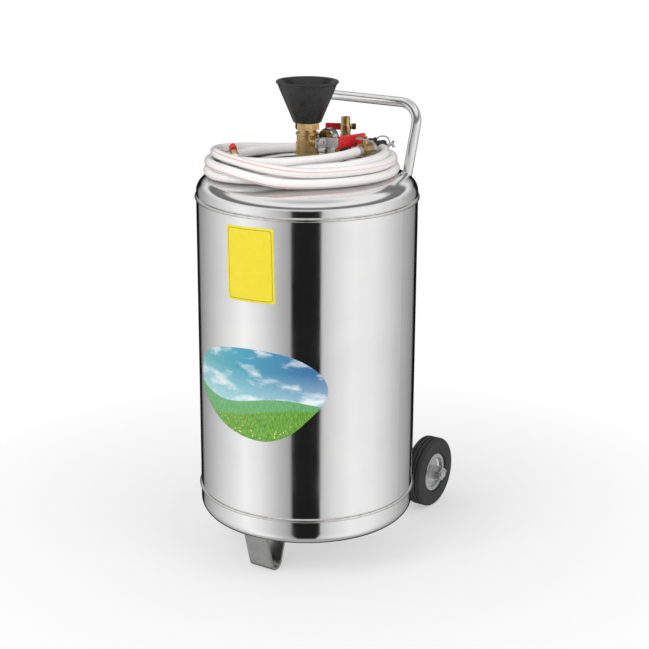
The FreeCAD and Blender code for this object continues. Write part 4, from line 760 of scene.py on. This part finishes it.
for name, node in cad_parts.items():
    for slot in node.material_slots:
        slot.material = NODE_MATERIALS.get(name) or SLOT_MATERIALS[slot.material.name.split(".")[0]]
hose.data.materials.append(SLOT_MATERIALS["hose"])
funnel.data.materials.append(SLOT_MATERIALS["black_rubber"])
outlet_nut.data.materials.append(SLOT_MATERIALS["brass"])
scale.data.materials.append(SLOT_MATERIALS["needle"])
yellow_plate.data.materials.append(yellow_print("yellow_print", *YELLOW_HALF))
picture_plate.data.materials.append(meadow_print("meadow_print", *PICTURE_HALF))

# What bright metal sees of the room. WALL_GREYS: degrees round from the camera's side, and the grey out of
# 255 that the steel shows there. CEILING_LEVELS: how steeply up, and the light's level.
WALL_GREYS = [
    (-180, 22), (-152, 24), (-148, 140), (-130, 172), (-100, 215), (-68, 250), (-50, 232), (-28, 186),
    (-16, 160), (-15.2, 35), (14.4, 35), (15.2, 196), (30, 224), (50, 243), (75, 236), (93, 218),
    (120, 178), (140, 150), (149, 132), (152, 24), (180, 22),
]
STEEL_SHARE = 0.985
SCREEN_GAMMA = 2.2
CEILING_LEVELS = [
    (0.0, 0.8), (0.36, 0.82), (0.42, 0.16), (0.62, 0.2), (0.7, 0.86), (0.9, 0.84), (1.0, 0.5),
]
CEILING_RISE = (0.12, 0.35)
GROUND_FALL = (-0.84, -0.96)
GROUND_COLOR = (0.4, 0.4, 0.4)
SOFT_LEVEL = 0.62
WHITE = (1, 1, 1)


def shade_world():
    """A white room, which lights the object softly.

    Bright metal sees it as two wide pale panels, with dark gaps behind the object and behind the camera.
    """
    data = bpy.data.worlds.new("studio")
    scene.world = data
    data.use_nodes = True
    data.node_tree.nodes.clear()
    world = Nodes(data.node_tree)
    way = world.add("ShaderNodeTexCoord").outputs["Generated"]
    turned = world.add("ShaderNodeVectorRotate", {"Vector": way, "Angle": -LAY_TURN}, rotation_type="Z_AXIS")
    right, away, up = world.parts(turned.outputs["Vector"])
    turn = world.math("ARCTAN2", right, world.math("MULTIPLY", away, -1.0))
    share = world.math("ADD", world.math("DIVIDE", turn, math.tau), 0.5)
    walls = world.ramp(share, *(
        (degrees / 360 + 0.5, (grey / 255 / STEEL_SHARE) ** SCREEN_GAMMA) for degrees, grey in WALL_GREYS))
    ceiling = world.ramp(up, *CEILING_LEVELS)
    room = world.mixed(world.span(up, *CEILING_RISE), walls, ceiling)
    room = world.mixed(world.span(up, *GROUND_FALL), room, GROUND_COLOR)
    rays = world.add("ShaderNodeLightPath").outputs
    mirrored, soft, white = (
        world.add("ShaderNodeBackground", {"Color": color, "Strength": strength}).outputs["Background"]
        for color, strength in ((room, 1.0), (WHITE, SOFT_LEVEL), (WHITE, 1.0)))
    light = world.mixed_shaders(rays["Is Glossy Ray"], soft, mirrored)
    seen = world.mixed_shaders(rays["Is Camera Ray"], light, white)
    world.add("ShaderNodeOutputWorld", {"Surface": seen})


FLOOR_R = 24
# From the first distance to the second, in metres, the floor turns from its own colour to the white beyond.
FLOOR_FADE = (0.3, 0.9)
FLOOR_WHITE = (0.45, 1.0)


def add_floor():
    """A wide pale floor that keeps the shadow near the object and fades to white further out."""
    mesh = bpy.data.meshes.new("floor")
    shape = bmesh.new()
    bmesh.ops.create_circle(shape, cap_ends=True, segments=96, radius=FLOOR_R)
    shape.to_mesh(mesh)
    shape.free()
    floor = add_object("floor", mesh)
    paint = Surface("floor_paint", (0.93, 0.93, 0.93), roughness=0.9)
    tint = paint.noise(0.4, detail=4)
    paint.color(paint.ramp(tint, (0.3, (0.93, 0.93, 0.93)), (0.7, (0.95, 0.95, 0.95))))
    rays = paint.add("ShaderNodeLightPath").outputs
    distance = paint.add("ShaderNodeVectorMath", {0: paint.places}, operation="LENGTH").outputs["Value"]
    seen = paint.math("MULTIPLY", rays["Is Camera Ray"], paint.span(distance, *FLOOR_FADE, *FLOOR_WHITE))
    glow = paint.add("ShaderNodeEmission", {"Strength": 1.0}).outputs["Emission"]
    clear = paint.add("ShaderNodeBsdfTransparent").outputs["BSDF"]
    faded = paint.mixed_shaders(seen, paint.shader.outputs["BSDF"], glow)
    last = paint.mixed_shaders(rays["Is Glossy Ray"], faded, clear)
    paint.feed(paint.tree.nodes["Material Output"].inputs["Surface"], last)
    mesh.materials.append(paint.material)


TANK_MIDDLE = Vector((0, TANK_BACK * MM, 0.5))


def add_lamp(name, place, power, size):
    """A soft lamp at the place in metres, turned to the middle of the tank; mirrors don't show it."""
    data = bpy.data.lights.new(name, "AREA")
    data.energy = power
    data.size = size
    lamp = add_object(name, data)
    lamp.location = place
    lamp.rotation_euler = (TANK_MIDDLE - place).to_track_quat("-Z", "Y").to_euler()
    lamp.visible_glossy = False


shade_world()
add_floor()
add_lamp("key_lamp", lay(-1700, -1900, 2300), power=36, size=1.6)
add_lamp("fill_lamp", lay(1900, -1500, 1700), power=18, size=1.8)
